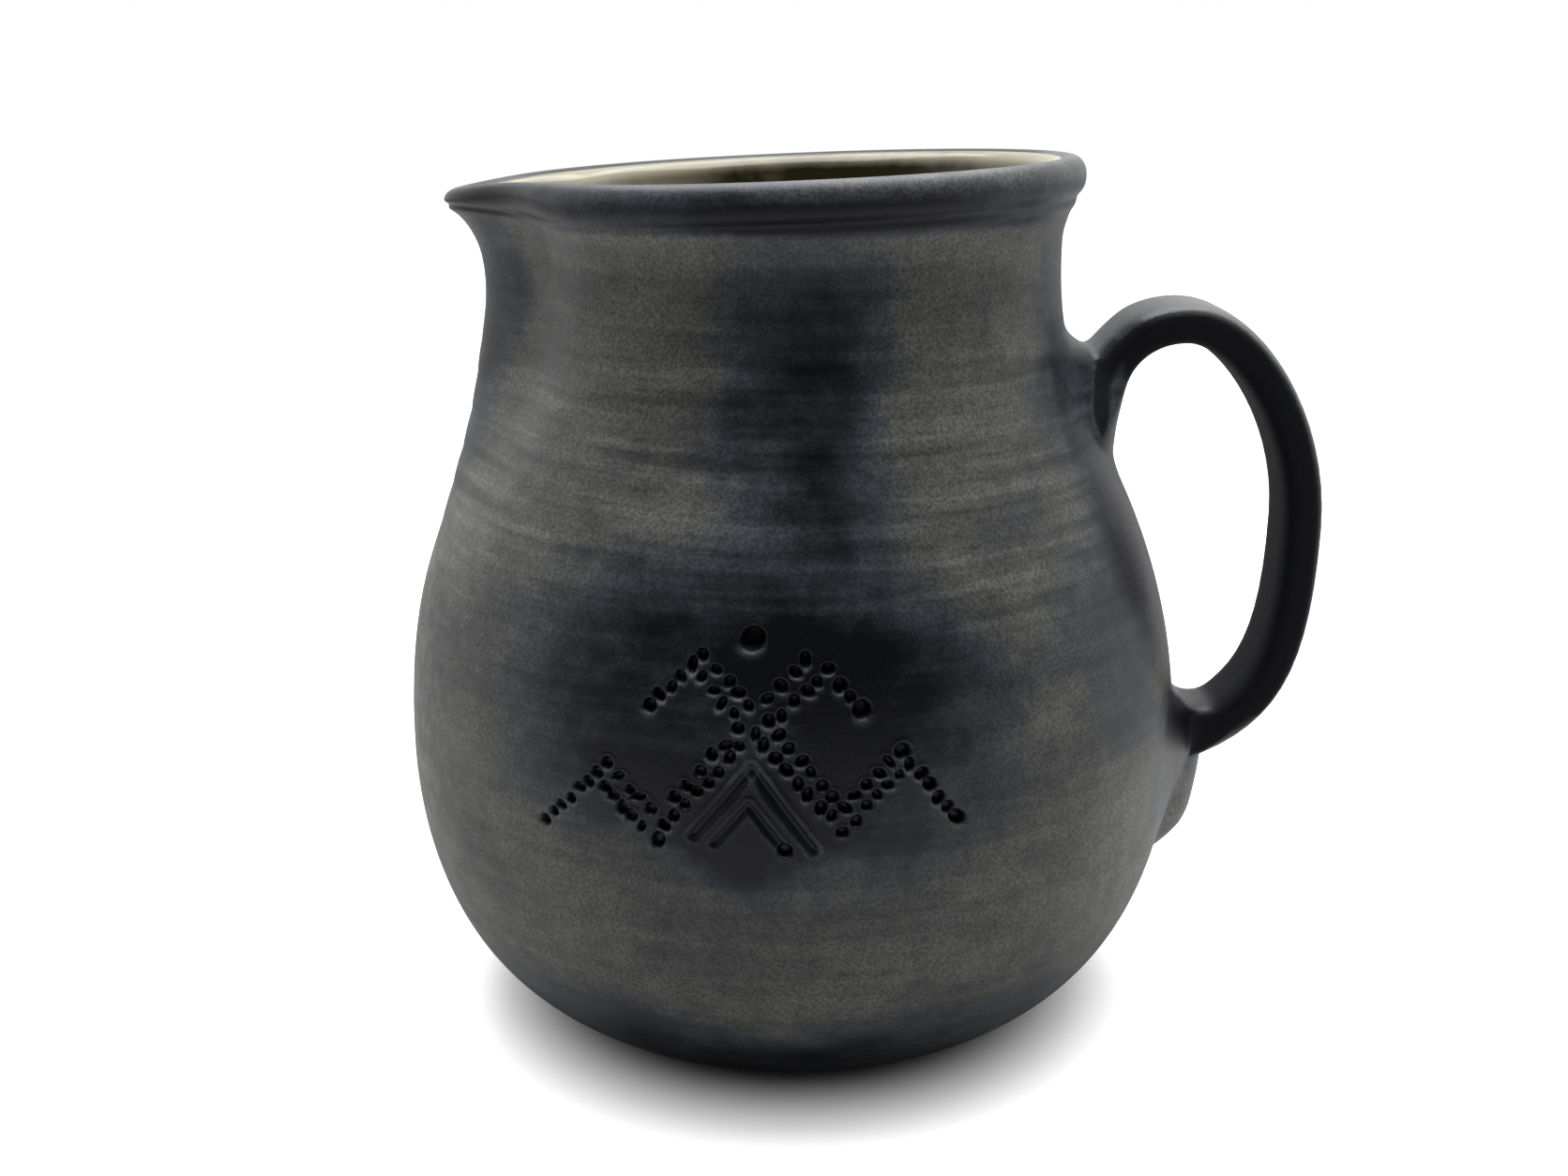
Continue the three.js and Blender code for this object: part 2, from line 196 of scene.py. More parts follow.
def spin_profile(name: str, profile: np.ndarray, steps: int, sweep: float = TURN) -> bpy.types.Object:
    """Turn a profile round the Z axis, as on a wheel.

    Args:
        name: Name of the new object.
        profile: Radius and height of each corner.
        steps: Number of spans round the sweep.
        sweep: Angle to turn through, in radians.

    Returns:
        The turned object.
    """
    bpy.ops.object.select_all(action="DESELECT")
    bpy.context.tool_settings.mesh_select_mode = (True, False, False)
    bpy.ops.mesh.primitive_plane_add(size=MM, enter_editmode=True)
    bpy.ops.mesh.merge(type="CENTER")
    bpy.ops.transform.translate(value=(profile[0][0], 0, profile[0][1]))
    for step in np.diff(profile, axis=0):
        bpy.ops.mesh.extrude_region_move(TRANSFORM_OT_translate={"value": (step[0], 0, step[1])})
    bpy.ops.mesh.select_all(action="SELECT")
    bpy.ops.mesh.spin(steps=steps, angle=sweep, center=(0, 0, 0), axis=(0, 0, 1))
    bpy.ops.mesh.select_all(action="SELECT")
    bpy.ops.mesh.remove_doubles(threshold=WELD)
    bpy.ops.mesh.normals_make_consistent(inside=False)
    bpy.ops.object.mode_set(mode="OBJECT")
    piece = bpy.context.object
    piece.name = name
    return piece


def apply_modifier(piece: bpy.types.Object, kind: str, **settings: object) -> None:
    """Add a modifier with settings and apply it.

    Args:
        piece: Object to change.
        kind: Modifier type.
        settings: Properties of the modifier.
    """
    activate(piece)
    modifier = piece.modifiers.new(kind.title(), kind)
    for key, value in settings.items():
        setattr(modifier, key, value)
    bpy.ops.object.modifier_apply(modifier=modifier.name)


def shade_smooth(piece: bpy.types.Object) -> bpy.types.Object:
    """Shade a finished piece smooth.

    Args:
        piece: Piece to shade.

    Returns:
        The same piece.
    """
    activate(piece)
    bpy.ops.object.shade_smooth()
    return piece


@dataclass
class ThrownForm:
    """Shape of the thrown pot. Lengths in metres, angles in degrees round the pot from the spout."""

    base_radius: float = 37 * MM
    belly_radius: float = 65.1 * MM
    belly_height: float = 47.5 * MM
    neck_radius: float = 43.3 * MM
    neck_height: float = 127 * MM
    rim_height: float = 141 * MM
    rim_tilt: float = 1.8 * MM
    bead_height: float = 8.4 * MM
    bead_radius: float = 46.6 * MM
    bead_step: float = 1.2 * MM
    flare_rise: float = 0.4
    line_rise: float = 2.3 * MM
    line_depth: float = 0.4 * MM
    bulge_depth: float = 2.8 * MM
    crest_radius: float = 44.2 * MM
    mouth_radius: float = 40.8 * MM
    mouth_depth: float = 3 * MM
    wall: float = 5 * MM
    neck_wall: float = 4.4 * MM
    floor: float = 8 * MM
    inner_floor_radius: float = 30 * MM
    foot_spread: float = 0.9
    foot_rise: float = 0.16
    belly_fullness: float = 0.25
    shoulder_fullness: float = 0.61
    neck_fullness: float = 0.41
    throat_depth: float = 7 * MM
    throat_foot: float = 80 * MM
    throat_head: float = 116 * MM
    throat_spread: float = 11
    lip_reach: float = 4 * MM
    lip_droop: float = 1.6 * MM
    lip_foot: float = 121 * MM
    lip_curl: float = 3
    lip_kept: float = 0.48
    lip_spread: float = 9.5
    bead_lift: float = 4 * MM
    lift_spread: float = 16
    pinch_depth: float = 1.9 * MM
    pinch_angle: float = 25
    pinch_spread: float = 9
    flat_depth: float = 1.7 * MM
    flat_height: float = 86 * MM
    flat_span: float = 18 * MM
    flat_spread: float = 40
    handle_angle: float = 180
    curve_steps: int = 240
    search_rounds: int = 4

    @property
    def bead_foot(self) -> float:
        """Height of the groove under the rim bead."""
        return self.rim_height - self.bead_height

    def thrown_curve(self, foot: Pair, belly: float, neck: float) -> np.ndarray:
        """Draw the curve from the foot over the belly to the neck.

        Args:
            foot: Radius and height where the curve starts.
            belly: Radius at the belly.
            neck: Radius at the neck.

        Returns:
            Radius and height along the curve.
        """
        widest = (belly, self.belly_height)
        top = (neck, self.neck_height)
        spread = between(foot, widest, self.foot_spread, self.foot_rise)
        below = between(widest, foot, 0, self.belly_fullness)
        above = between(widest, top, 0, self.shoulder_fullness)
        under_neck = between(top, widest, 0, self.neck_fullness)
        lower = bezier([foot, spread, below, widest], self.curve_steps)
        upper = bezier([widest, above, under_neck, top], self.curve_steps)
        return np.vstack((lower, upper[1:]))

    def outside(self) -> np.ndarray:
        """Draw the outside of the wall, from the foot to the neck."""
        return self.thrown_curve((self.base_radius, 0), self.belly_radius, self.neck_radius)

    def bead(self) -> np.ndarray:
        """Draw the rim bead: the flare under its groove, a scored line, the crest and the mouth.

        Returns:
            Radius and height along the bead.
        """
        shelf = (self.bead_radius - self.bead_step, self.bead_foot + self.bead_step)
        groove = ((self.neck_radius + shelf[0]) / 2, self.bead_foot)
        rising = (self.neck_radius, self.neck_height + (self.bead_foot - self.neck_height) * self.flare_rise)
        flare = bezier([(self.neck_radius, self.neck_height), rising, rising, groove], self.curve_steps)
        line = (shelf[0] - self.line_depth, self.bead_foot + self.line_rise)
        bulge = (self.bead_radius, self.rim_height - self.bulge_depth)
        crest = (self.crest_radius, self.rim_height)
        mouth = (self.mouth_radius, self.rim_height - self.mouth_depth)
        foot = ((shelf[0] + self.bead_radius) / 2, line[1] + self.bead_step / 2)
        rise = (self.bead_radius, foot[1] + self.bead_step / 2)
        reach = (self.bead_radius, bulge[1] - self.bead_step / 2)
        face = bezier([foot, rise, reach, bulge], self.curve_steps)
        over = (self.bead_radius, self.rim_height - self.bead_step)
        to_crest = (self.bead_radius - self.bead_step, self.rim_height)
        roll = bezier([bulge, over, to_crest, crest], self.curve_steps)
        turn = (self.crest_radius - self.bead_step, self.rim_height)
        to_mouth = (self.mouth_radius, self.rim_height - self.bead_step)
        lip = bezier([crest, turn, to_mouth, mouth], self.curve_steps)
        return np.vstack((flare, [shelf, line], face, roll[1:], lip[1:]))

    def inside(self) -> np.ndarray:
        """Draw the inside of the wall, from the neck to the floor.

        Returns:
            Radius and height along the wall.
        """
        foot = (self.inner_floor_radius, self.floor)
        curve = self.thrown_curve(foot, self.belly_radius - self.wall, self.neck_radius - self.neck_wall)
        return curve[::-1]

    def radius_at(self, height: np.ndarray) -> np.ndarray:
        """Find the thrown radius of the outside wall."""
        wall = self.outside()
        return np.interp(height, wall[:, 1], wall[:, 0])

    def place(self, radius: np.ndarray, height: np.ndarray, angle: np.ndarray) -> np.ndarray:
        """Move points of the thrown pot to where the pulled spout and the pressed shoulder put them.

        Args:
            radius: Thrown radii.
            height: Thrown heights.
            angle: Angles round the pot from the spout, in radians.

        Returns:
            One row of X, Y and Z per point.
        """
        up_bead = np.maximum(0, (height - self.bead_foot) / self.bead_height)
        pulled = smoothstep(height, self.throat_foot, self.throat_head)
        throat = pulled * self.throat_depth * lobe(angle, 0, self.throat_spread)
        beak = lobe(angle, 0, self.lip_spread)
        up_lip = (height - self.lip_foot) / (self.bead_foot - self.lip_foot)
        curl = np.clip(up_lip, 0, 1) ** self.lip_curl
        lip = self.lip_reach * beak * curl * (1 + (self.lip_kept - 1) * up_bead)
        flanks = sum(lobe(angle, side * self.pinch_angle, self.pinch_spread) for side in (1, -1))
        pinch = pulled * (1 - up_bead) * self.pinch_depth * flanks
        level = bell(height, self.flat_height, self.flat_span)
        flat = level * self.flat_depth * lobe(angle, self.handle_angle, self.flat_spread)
        share = np.minimum(1, radius / self.mouth_radius)
        reach = radius + share * (throat + lip - pinch - flat)
        tilt = self.rim_tilt * smoothstep(height, self.belly_height, self.rim_height) * np.cos(angle)
        droop = self.lip_droop * beak * smoothstep(height, self.lip_foot, self.rim_height)
        outer = smoothstep(radius, self.mouth_radius, self.crest_radius)
        narrowed = smoothstep(height, self.lip_foot, self.bead_foot) * (1 - up_bead)
        narrowed = narrowed * lobe(angle, 0, self.lift_spread)
        rise = outer * self.bead_lift * narrowed - share * (tilt + droop)
        return np.stack((-reach * np.cos(angle), -reach * np.sin(angle), height + rise), axis=-1)

    def off_wall(self, points: np.ndarray) -> np.ndarray:
        """Measure how far points stand off the outside wall.

        Args:
            points: One row of X, Y and Z per point.

        Returns:
            Distances, positive outside.
        """
        angle = angle_of(points)
        height = points[:, 2].copy()
        for _ in range(self.search_rounds):
            on_wall = self.place(self.radius_at(height), height, angle)
            height += points[:, 2] - on_wall[:, 2]
        reach = radius_of(on_wall)
        slope = (self.radius_at(height + MM) - self.radius_at(height - MM)) / (2 * MM)
        return (radius_of(points) - reach) / np.sqrt(1 + slope**2)


@dataclass(frozen=True)
class PrickedRow:
    """A straight row of pricked holes, in millimetres across the near wall and up it."""

    start: Pair
    end: Pair
    count: int
    hole: float = 1.75
    last: float = 1.75


@dataclass(frozen=True)
class Hole:
    """A pricked oval hole in millimetres, with its turn in radians and its share of the full depth."""

    across: float
    up: float
    radius: float
    skew: float
    turn: float
    depth: float

    def away(self, across: np.ndarray, up: np.ndarray) -> np.ndarray:
        """Measure distances from the hole's middle, in its radii.

        Args:
            across: Millimetres across the wall.
            up: Millimetres up.

        Returns:
            Distances that are 1 at the hole's edge.
        """
        cosine, sine = math.cos(self.turn), math.sin(self.turn)
        along = (across - self.across) * cosine + (up - self.up) * sine
        athwart = (up - self.up) * cosine - (across - self.across) * sine
        return np.hypot(along * self.skew, athwart / self.skew) / self.radius


@dataclass(frozen=True)
class IncisedStroke:
    """A straight groove drawn with a blunt tool, in millimetres across the near wall and up it."""

    start: Pair
    end: Pair
    width: float = 1.9
    depth: float = 0.55

    def away(self, across: np.ndarray, up: np.ndarray) -> np.ndarray:
        """Measure distances from the groove's middle line, in half its widths.

        Args:
            across: Millimetres across the wall.
            up: Millimetres up.

        Returns:
            Distances that are 1 at the groove's edge.
        """
        run = np.array(self.end) - np.array(self.start)
        right, above = across - self.start[0], up - self.start[1]
        share = np.clip((right * run[0] + above * run[1]) / run.dot(run), 0, 1)
        return np.hypot(right - share * run[0], above - share * run[1]) / (self.width / 2)


@dataclass
class Ornament:
    """Traditional crossed-stalk sign pricked into the near side of the belly, over two nested chevrons.

    Pairs give a place and a width, or the limits of a slope, in radii of a hole or half widths of a stroke.
    """

    wall_radius: float = 64.5 * MM
    hole_depth: float = 1.25
    hole_grown: float = 1.12
    hole_sizes: Pair = (0.88, 1.1)
    hole_depths: Pair = (0.75, 1.1)
    hole_skew: float = 0.14
    hole_slope: Pair = (0.4, 1.05)
    hole_burr: Pair = (1.25, 0.22)
    stroke_slope: Pair = (0.1, 1)
    stroke_burr: Pair = (1.35, 0.3)
    stroke_burr_share: float = 1.5
    burr: float = 0.07
    burr_clear: float = 0.2
    shake: float = 0.16
    # The lower lip of each hole: worn pale, with a painted highlight where it faces up.
    lip_side: Pair = (0.1, 0.9)
    lip_wear_and_light: Pair = (1.08, 0.22)
    lip_power: int = 3
    stroke_wear: float = 0.45
    bank_wear: Pair = (1.2, 0.35)
    # Darker inside each hole.
    pit_edge: Pair = (0.55, 0.95)
    pit_darkening: float = 1.3
    seed: int = 4
    rows: tuple[PrickedRow, ...] = (
        PrickedRow((-6.0, 80.0), (-6.0, 80.0), 1, 3.3, 3.3),
        PrickedRow((-13.4, 77.6), (-21.2, 70.4), 6, 1.8, 2.2),
        PrickedRow((-11.2, 75.9), (-6.4, 71.1), 4),
        PrickedRow((-13.4, 74.7), (-8.6, 69.6), 4),
        PrickedRow((1.9, 77.6), (-3.7, 72.0), 4, 2.0),
        PrickedRow((4.9, 76.1), (-1.6, 70.2), 5),
        PrickedRow((6.5, 73.8), (9.7, 70.4), 3, 2.1, 2.7),
        PrickedRow((-7.8, 68.0), (-16.9, 57.8), 6, 1.9),
        PrickedRow((-7.6, 65.3), (-18.3, 53.3), 8),
        PrickedRow((-19.5, 50.9), (-19.5, 50.9), 1, 2.4, 2.4),
        PrickedRow((-5.4, 67.1), (-5.4, 67.1), 1),
        PrickedRow((-4.2, 65.6), (6.7, 53.5), 8, 1.9),
        PrickedRow((-3.7, 68.9), (8.6, 54.9), 9, 1.9),
        PrickedRow((-27.1, 61.1), (-20.4, 55.6), 5),
        PrickedRow((-27.3, 58.0), (-22.1, 52.8), 5, 1.9),
        PrickedRow((-28.9, 59.6), (-37.9, 50.7), 7, 1.8, 2.1),
        PrickedRow((8.6, 58.4), (15.3, 64.1), 5, 1.7, 2.6),
        PrickedRow((10.1, 57.0), (16.4, 62.4), 5, 1.6),
        PrickedRow((18.2, 60.7), (23.6, 53.6), 5, 2.1, 2.4),
        PrickedRow((-1.4, 50.7), (-1.4, 50.7), 1, 2.3, 2.3),
    )
    strokes: tuple[IncisedStroke, ...] = (
        IncisedStroke((-5.9, 62.4), (-14.1, 52.4)),
        IncisedStroke((-5.9, 62.4), (2.7, 50.7)),
        IncisedStroke((-6.3, 57.1), (-11.1, 51.4), 1.6, 0.45),
        IncisedStroke((-6.3, 57.1), (-1.4, 50.7), 1.6, 0.45),
    )
    holes: list[Hole] = field(init=False)

    def __post_init__(self) -> None:
        """Set out the holes of every row, each a little off its mark as by hand."""
        hand = np.random.default_rng(self.seed)
        self.holes = []
        for row in self.rows:
            for i in range(row.count):
                share = i / max(1, row.count - 1)
                size = row.last if i and i == row.count - 1 else row.hole
                spot = np.array(row.start) * (1 - share) + np.array(row.end) * share
                spot += hand.normal(0, self.shake, 2)
                radius = size / 2 * self.hole_grown * hand.uniform(*self.hole_sizes)
                skew = 1 + hand.normal(0, self.hole_skew)
                turn = hand.uniform(0, math.pi)
                self.holes.append(Hole(*spot, radius, skew, turn, hand.uniform(*self.hole_depths)))

    def marks(self, points: np.ndarray) -> tuple[np.ndarray, np.ndarray]:
        """Find where points lie on the near wall."""
        across = np.arctan2(points[:, 0], -points[:, 1]) * self.wall_radius / MM
        return across, points[:, 2] / MM

    @staticmethod
    def ridge(away: np.ndarray, place: float, width: float) -> np.ndarray:
        """Find the shares of a round ridge beside a mark."""
        return np.exp(-(((away - place) / width) ** 2))

    def nearest(self, points: np.ndarray) -> np.ndarray:
        """Measure how far points are from the nearest hole edge or groove.

        Args:
            points: One row of X, Y and Z per point.

        Returns:
            Distances in millimetres, negative inside a hole.
        """
        across, up = self.marks(points)
        near = np.full(len(points), np.inf)
        for hole in self.holes:
            near = np.minimum(near, np.hypot(across - hole.across, up - hole.up) - hole.radius)
        for stroke in self.strokes:
            near = np.minimum(near, (stroke.away(across, up) - 1) * stroke.width / 2)
        return near

    def worn(self, points: np.ndarray) -> np.ndarray:
        """Find where the burr under a mark is worn pale, with a painted highlight on each hole's lower lip,
        and where a hole is darker inside.

        Args:
            points: One row of X, Y and Z per point.

        Returns:
            Shares, 1 where a lip is palest and below 0 in the holes.
        """
        across, up = self.marks(points)
        worn = np.zeros(len(points))
        dark_pits = np.zeros(len(points))
        for hole in self.holes:
            away = hole.away(across, up)
            # The lower lip of each hole is paler: worn clay with a painted highlight where its inner face
            # turns up.
            below = smoothstep((hole.up - up) / hole.radius, *self.lip_side)
            lip = below * hole.depth**self.lip_power * self.ridge(away, *self.lip_wear_and_light)
            worn = np.maximum(worn, lip)
            # Darker inside each hole.
            dark_pits = np.maximum(dark_pits, 1 - smoothstep(away, *self.pit_edge))
        for stroke in self.strokes:
            bank = self.ridge(stroke.away(across, up), *self.bank_wear)
            worn = np.maximum(worn, self.stroke_wear * bank)
        return worn * (1 - dark_pits) - self.pit_darkening * dark_pits

    def sunk(self, points: np.ndarray) -> np.ndarray:
        """Find how deep the tool pressed the clay, with the burr it raised beside each mark.

        Args:
            points: One row of X, Y and Z per point.

        Returns:
            Depths in metres, negative on a burr.
        """
        across, up = self.marks(points)
        deep = np.zeros(len(points))
        raised = np.zeros(len(points))
        for hole in self.holes:
            away = hole.away(across, up)
            full = self.hole_depth * hole.depth * hole.radius
            deep = np.maximum(deep, full * (1 - smoothstep(away, *self.hole_slope)))
            raised = np.maximum(raised, self.ridge(away, *self.hole_burr))
        for stroke in self.strokes:
            away = stroke.away(across, up)
            deep = np.maximum(deep, stroke.depth * (1 - smoothstep(away, *self.stroke_slope)))
            raised = np.maximum(raised, self.stroke_burr_share * self.ridge(away, *self.stroke_burr))
        open_clay = 1 - smoothstep(deep, 0, self.burr_clear)
        return (deep - self.burr * raised * open_clay) * MM


@dataclass
class ThrownBody:
    """The thrown pot with its throwing rings, rim grooves and pricked ornament."""

    form: ThrownForm
    ornament: Ornament
    turns: int = 208
    wall_spacing: float = 1.4 * MM
    bead_spacing: float = 0.4 * MM
    bead_softening: int = 6
    inner_spacing: float = 3 * MM
    base_rings: int = 4
    base_clear: float = 0.1 * MM
    pricked_skin: float = MM
    ring_pitch: float = 6.1 * MM
    ring_phase: float = 0.19
    ring_depth: float = 0.16 * MM
    ring_sharpness: int = 3
    ring_height: float = 101 * MM
    ring_span: float = 11 * MM
    ring_clear_spread: float = 44
    groove_heights: Pair = (132.7 * MM, 134.9 * MM)
    groove_depths: Pair = (0.04 * MM, 0.03 * MM)
    groove_width: float = 0.6 * MM
    finer: float = 2.6
    cuts: int = 7

    def profile(self) -> np.ndarray:
        """Draw the closed profile, from the centre of the base to the centre of the floor.

        Returns:
            Radius and height of each corner.
        """
        form = self.form
        base = np.linspace((0, 0), (form.base_radius, 0), self.base_rings, endpoint=False)
        wall = evenly(form.outside(), self.wall_spacing)
        bead = evenly(form.bead(), self.bead_spacing)[1:]
        for _ in range(self.bead_softening):
            bead[1:-1] = (bead[:-2] + 2 * bead[1:-1] + bead[2:]) / 4
        inside = evenly(np.vstack((bead[-1:], form.inside())), self.inner_spacing)[1:]
        floor = np.linspace((form.inner_floor_radius, form.floor), (0, form.floor), self.base_rings)[1:]
        return np.vstack((base, wall, bead, inside, floor))

    def build(self) -> bpy.types.Object:
        """Throw the pot, pull its spout and prick its ornament.

        Returns:
            The finished piece.
        """
        piece = spin_profile("body", self.profile(), self.turns)
        self.refine(piece)
        self.shape(piece)
        points = points_of(piece)
        near = (self.form.off_wall(points) > -self.pricked_skin) & (points[:, 1] < 0)
        write_values(piece, "worn", self.ornament.worn(points) * near)
        push_out(piece, points, -self.ornament.sunk(points) * near)
        return shade_smooth(piece)

    def refine(self, piece: bpy.types.Object) -> None:
        """Cut the faces round the ornament finer.

        Args:
            piece: The turned pot.
        """
        mesh = piece.data
        centres = np.empty(len(mesh.polygons) * 3)
        mesh.polygons.foreach_get("center", centres)
        centres = centres.reshape(-1, 3)
        off = radius_of(centres) - self.form.radius_at(centres[:, 2])
        near = (off > -self.form.wall / 2) & (centres[:, 1] < 0)
        chosen = near & (self.ornament.nearest(centres) < self.finer)
        activate(piece)
        bpy.context.tool_settings.mesh_select_mode = (False, False, True)
        bpy.ops.object.mode_set(mode="EDIT")
        bpy.ops.mesh.select_all(action="DESELECT")
        bpy.ops.object.mode_set(mode="OBJECT")
        mesh.polygons.foreach_set("select", chosen)
        bpy.ops.object.mode_set(mode="EDIT")
        bpy.ops.mesh.subdivide(number_cuts=self.cuts)
        bpy.ops.object.mode_set(mode="OBJECT")

    def shape(self, piece: bpy.types.Object) -> None:
        """Press throwing rings and rim grooves into the wall, then pull the spout.

        Args:
            piece: The turned pot.
        """
        form = self.form
        points = points_of(piece)
        radius = radius_of(points)
        angle = angle_of(points)
        height = points[:, 2]
        wall = form.radius_at(height)
        outer = (radius > wall - form.wall / 2) & (height > self.base_clear)
        on_wall = outer & (height < form.neck_height)
        radius = np.where(on_wall, wall, radius)
        marks = self.rings(height, angle) + self.grooves(height)
        radius = radius - outer * marks
        move_points(piece, form.place(radius, height, angle))

    def rings(self, height: np.ndarray, angle: np.ndarray) -> np.ndarray:
        """Find the depth of the spiral that the thrower's fingers left on the shoulder.

        Args:
            height: Heights on the wall.
            angle: Angles round the pot.

        Returns:
            Depths.
        """
        climb = height / self.ring_pitch + angle / TURN + self.ring_phase
        wave = ((1 + np.cos(TURN * climb)) / 2) ** self.ring_sharpness
        level = bell(height, self.ring_height, self.ring_span)
        clear = 1 - lobe(angle, self.form.handle_angle, self.ring_clear_spread)
        return self.ring_depth * wave * level * clear

    def grooves(self, height: np.ndarray) -> np.ndarray:
        """Find the depth of the fine grooves under the rim bead.

        Args:
            height: Heights on the wall.

        Returns:
            Depths.
        """
        depth = np.zeros(len(height))
        for level, deep in zip(self.groove_heights, self.groove_depths):
            depth += deep * bell(height, level, self.groove_width)
        return depth


@dataclass
class GlazeLining:
    """Glaze poured over the inside, thinning out at the mouth."""

    form: ThrownForm
    turns: int = 208
    edge_depth: float = 0.55 * MM
    spacing: float = 0.8 * MM
    edge: float = 0.06 * MM
    thickness: float = 0.7 * MM
    bedded: float = 0.3 * MM
    feather: float = 9 * MM

    def build(self) -> bpy.types.Object:
        """Turn the glaze shell, from just inside the crest down to the floor.

        Returns:
            The finished piece.
        """
        form = self.form
        bead = form.bead()
        lip = bead[np.argmax(bead[:, 1]) :]
        lip = lip[lip[:, 1] < form.rim_height - self.edge_depth]
        wall = evenly(np.vstack((lip, form.inside(), [(0, form.floor)])), self.spacing)
        run = np.gradient(wall, axis=0)
        run /= np.linalg.norm(run, axis=1)[:, None]
        run[-1] = (-1, 0)
        square = np.stack((run[:, 1], -run[:, 0]), axis=1)
        run_down = np.arange(len(wall)) * self.spacing
        thick = self.edge + self.thickness * smoothstep(run_down, 0, self.feather)
        face = wall + square * thick[:, None]
        back = (wall - square * self.bedded)[::-1]
        face[-1, 0] = 0
        back[0, 0] = 0
        piece = spin_profile("glaze", np.vstack((back, face)), self.turns)
        points = points_of(piece)
        move_points(piece, form.place(radius_of(points), points[:, 2], angle_of(points)))
        return shade_smooth(piece)


@dataclass(frozen=True)
class Section:
    """Size of a strap's cross-section."""

    width: float
    thickness: float

    def towards(self, other: "Section", share: float) -> "Section":
        """Blend with another section."""
        width = self.width + (other.width - self.width) * share
        return Section(width, self.thickness + (other.thickness - self.thickness) * share)


@dataclass(frozen=True)
class PressedSpot:
    """How a pressed end lies on the wall at one height: its width, and how far it stands off."""

    height: float
    section: Section


@dataclass(frozen=True)
class PressedEnd:
    """An end of the strap that was pressed onto the wall, from its head down to where it runs out."""

    head: PressedSpot
    shoulder: PressedSpot
    step: PressedSpot
    end: PressedSpot
    squareness: float

    def proud(self, height: float) -> Section:
        """Find the width, and how far the clay stands off the wall.

        Args:
            height: Height above the base.

        Returns:
            The section outside the wall.
        """
        down = (self.shoulder.height - height) / (self.shoulder.height - self.step.height)
        along = np.clip(down, 0, 1)
        swollen = 1 - smoothstep(height, self.shoulder.height, self.head.height)
        full = smoothstep(height, self.end.height, self.step.height)
        middle = self.shoulder.section.towards(self.step.section, float(along))
        upper = self.head.section.towards(middle, float(swollen))
        return self.end.section.towards(upper, float(full))


@dataclass(frozen=True)
class Station:
    """A cross-section set across a run in the XZ plane."""

    x: float
    z: float
    lean: float
    section: Section
    squareness: float


@dataclass(frozen=True)
class Swelling:
    """Clay smeared over the wall beside a root, run out to nothing all round."""

    bottom: float
    low: float
    high: float
    top: float
    core: float
    spread: float
    proud: float

    def stands_off(self, points: np.ndarray) -> np.ndarray:
        """Find how far the smeared clay stands off the wall.

        Args:
            points: Points on the wall.

        Returns:
            Distances.
        """
        height = points[:, 2]
        along = smoothstep(height, self.bottom, self.low) * (1 - smoothstep(height, self.high, self.top))
        aside = 1 - smoothstep(np.abs(points[:, 1]), self.core, self.spread)
        return self.proud * along * aside**2


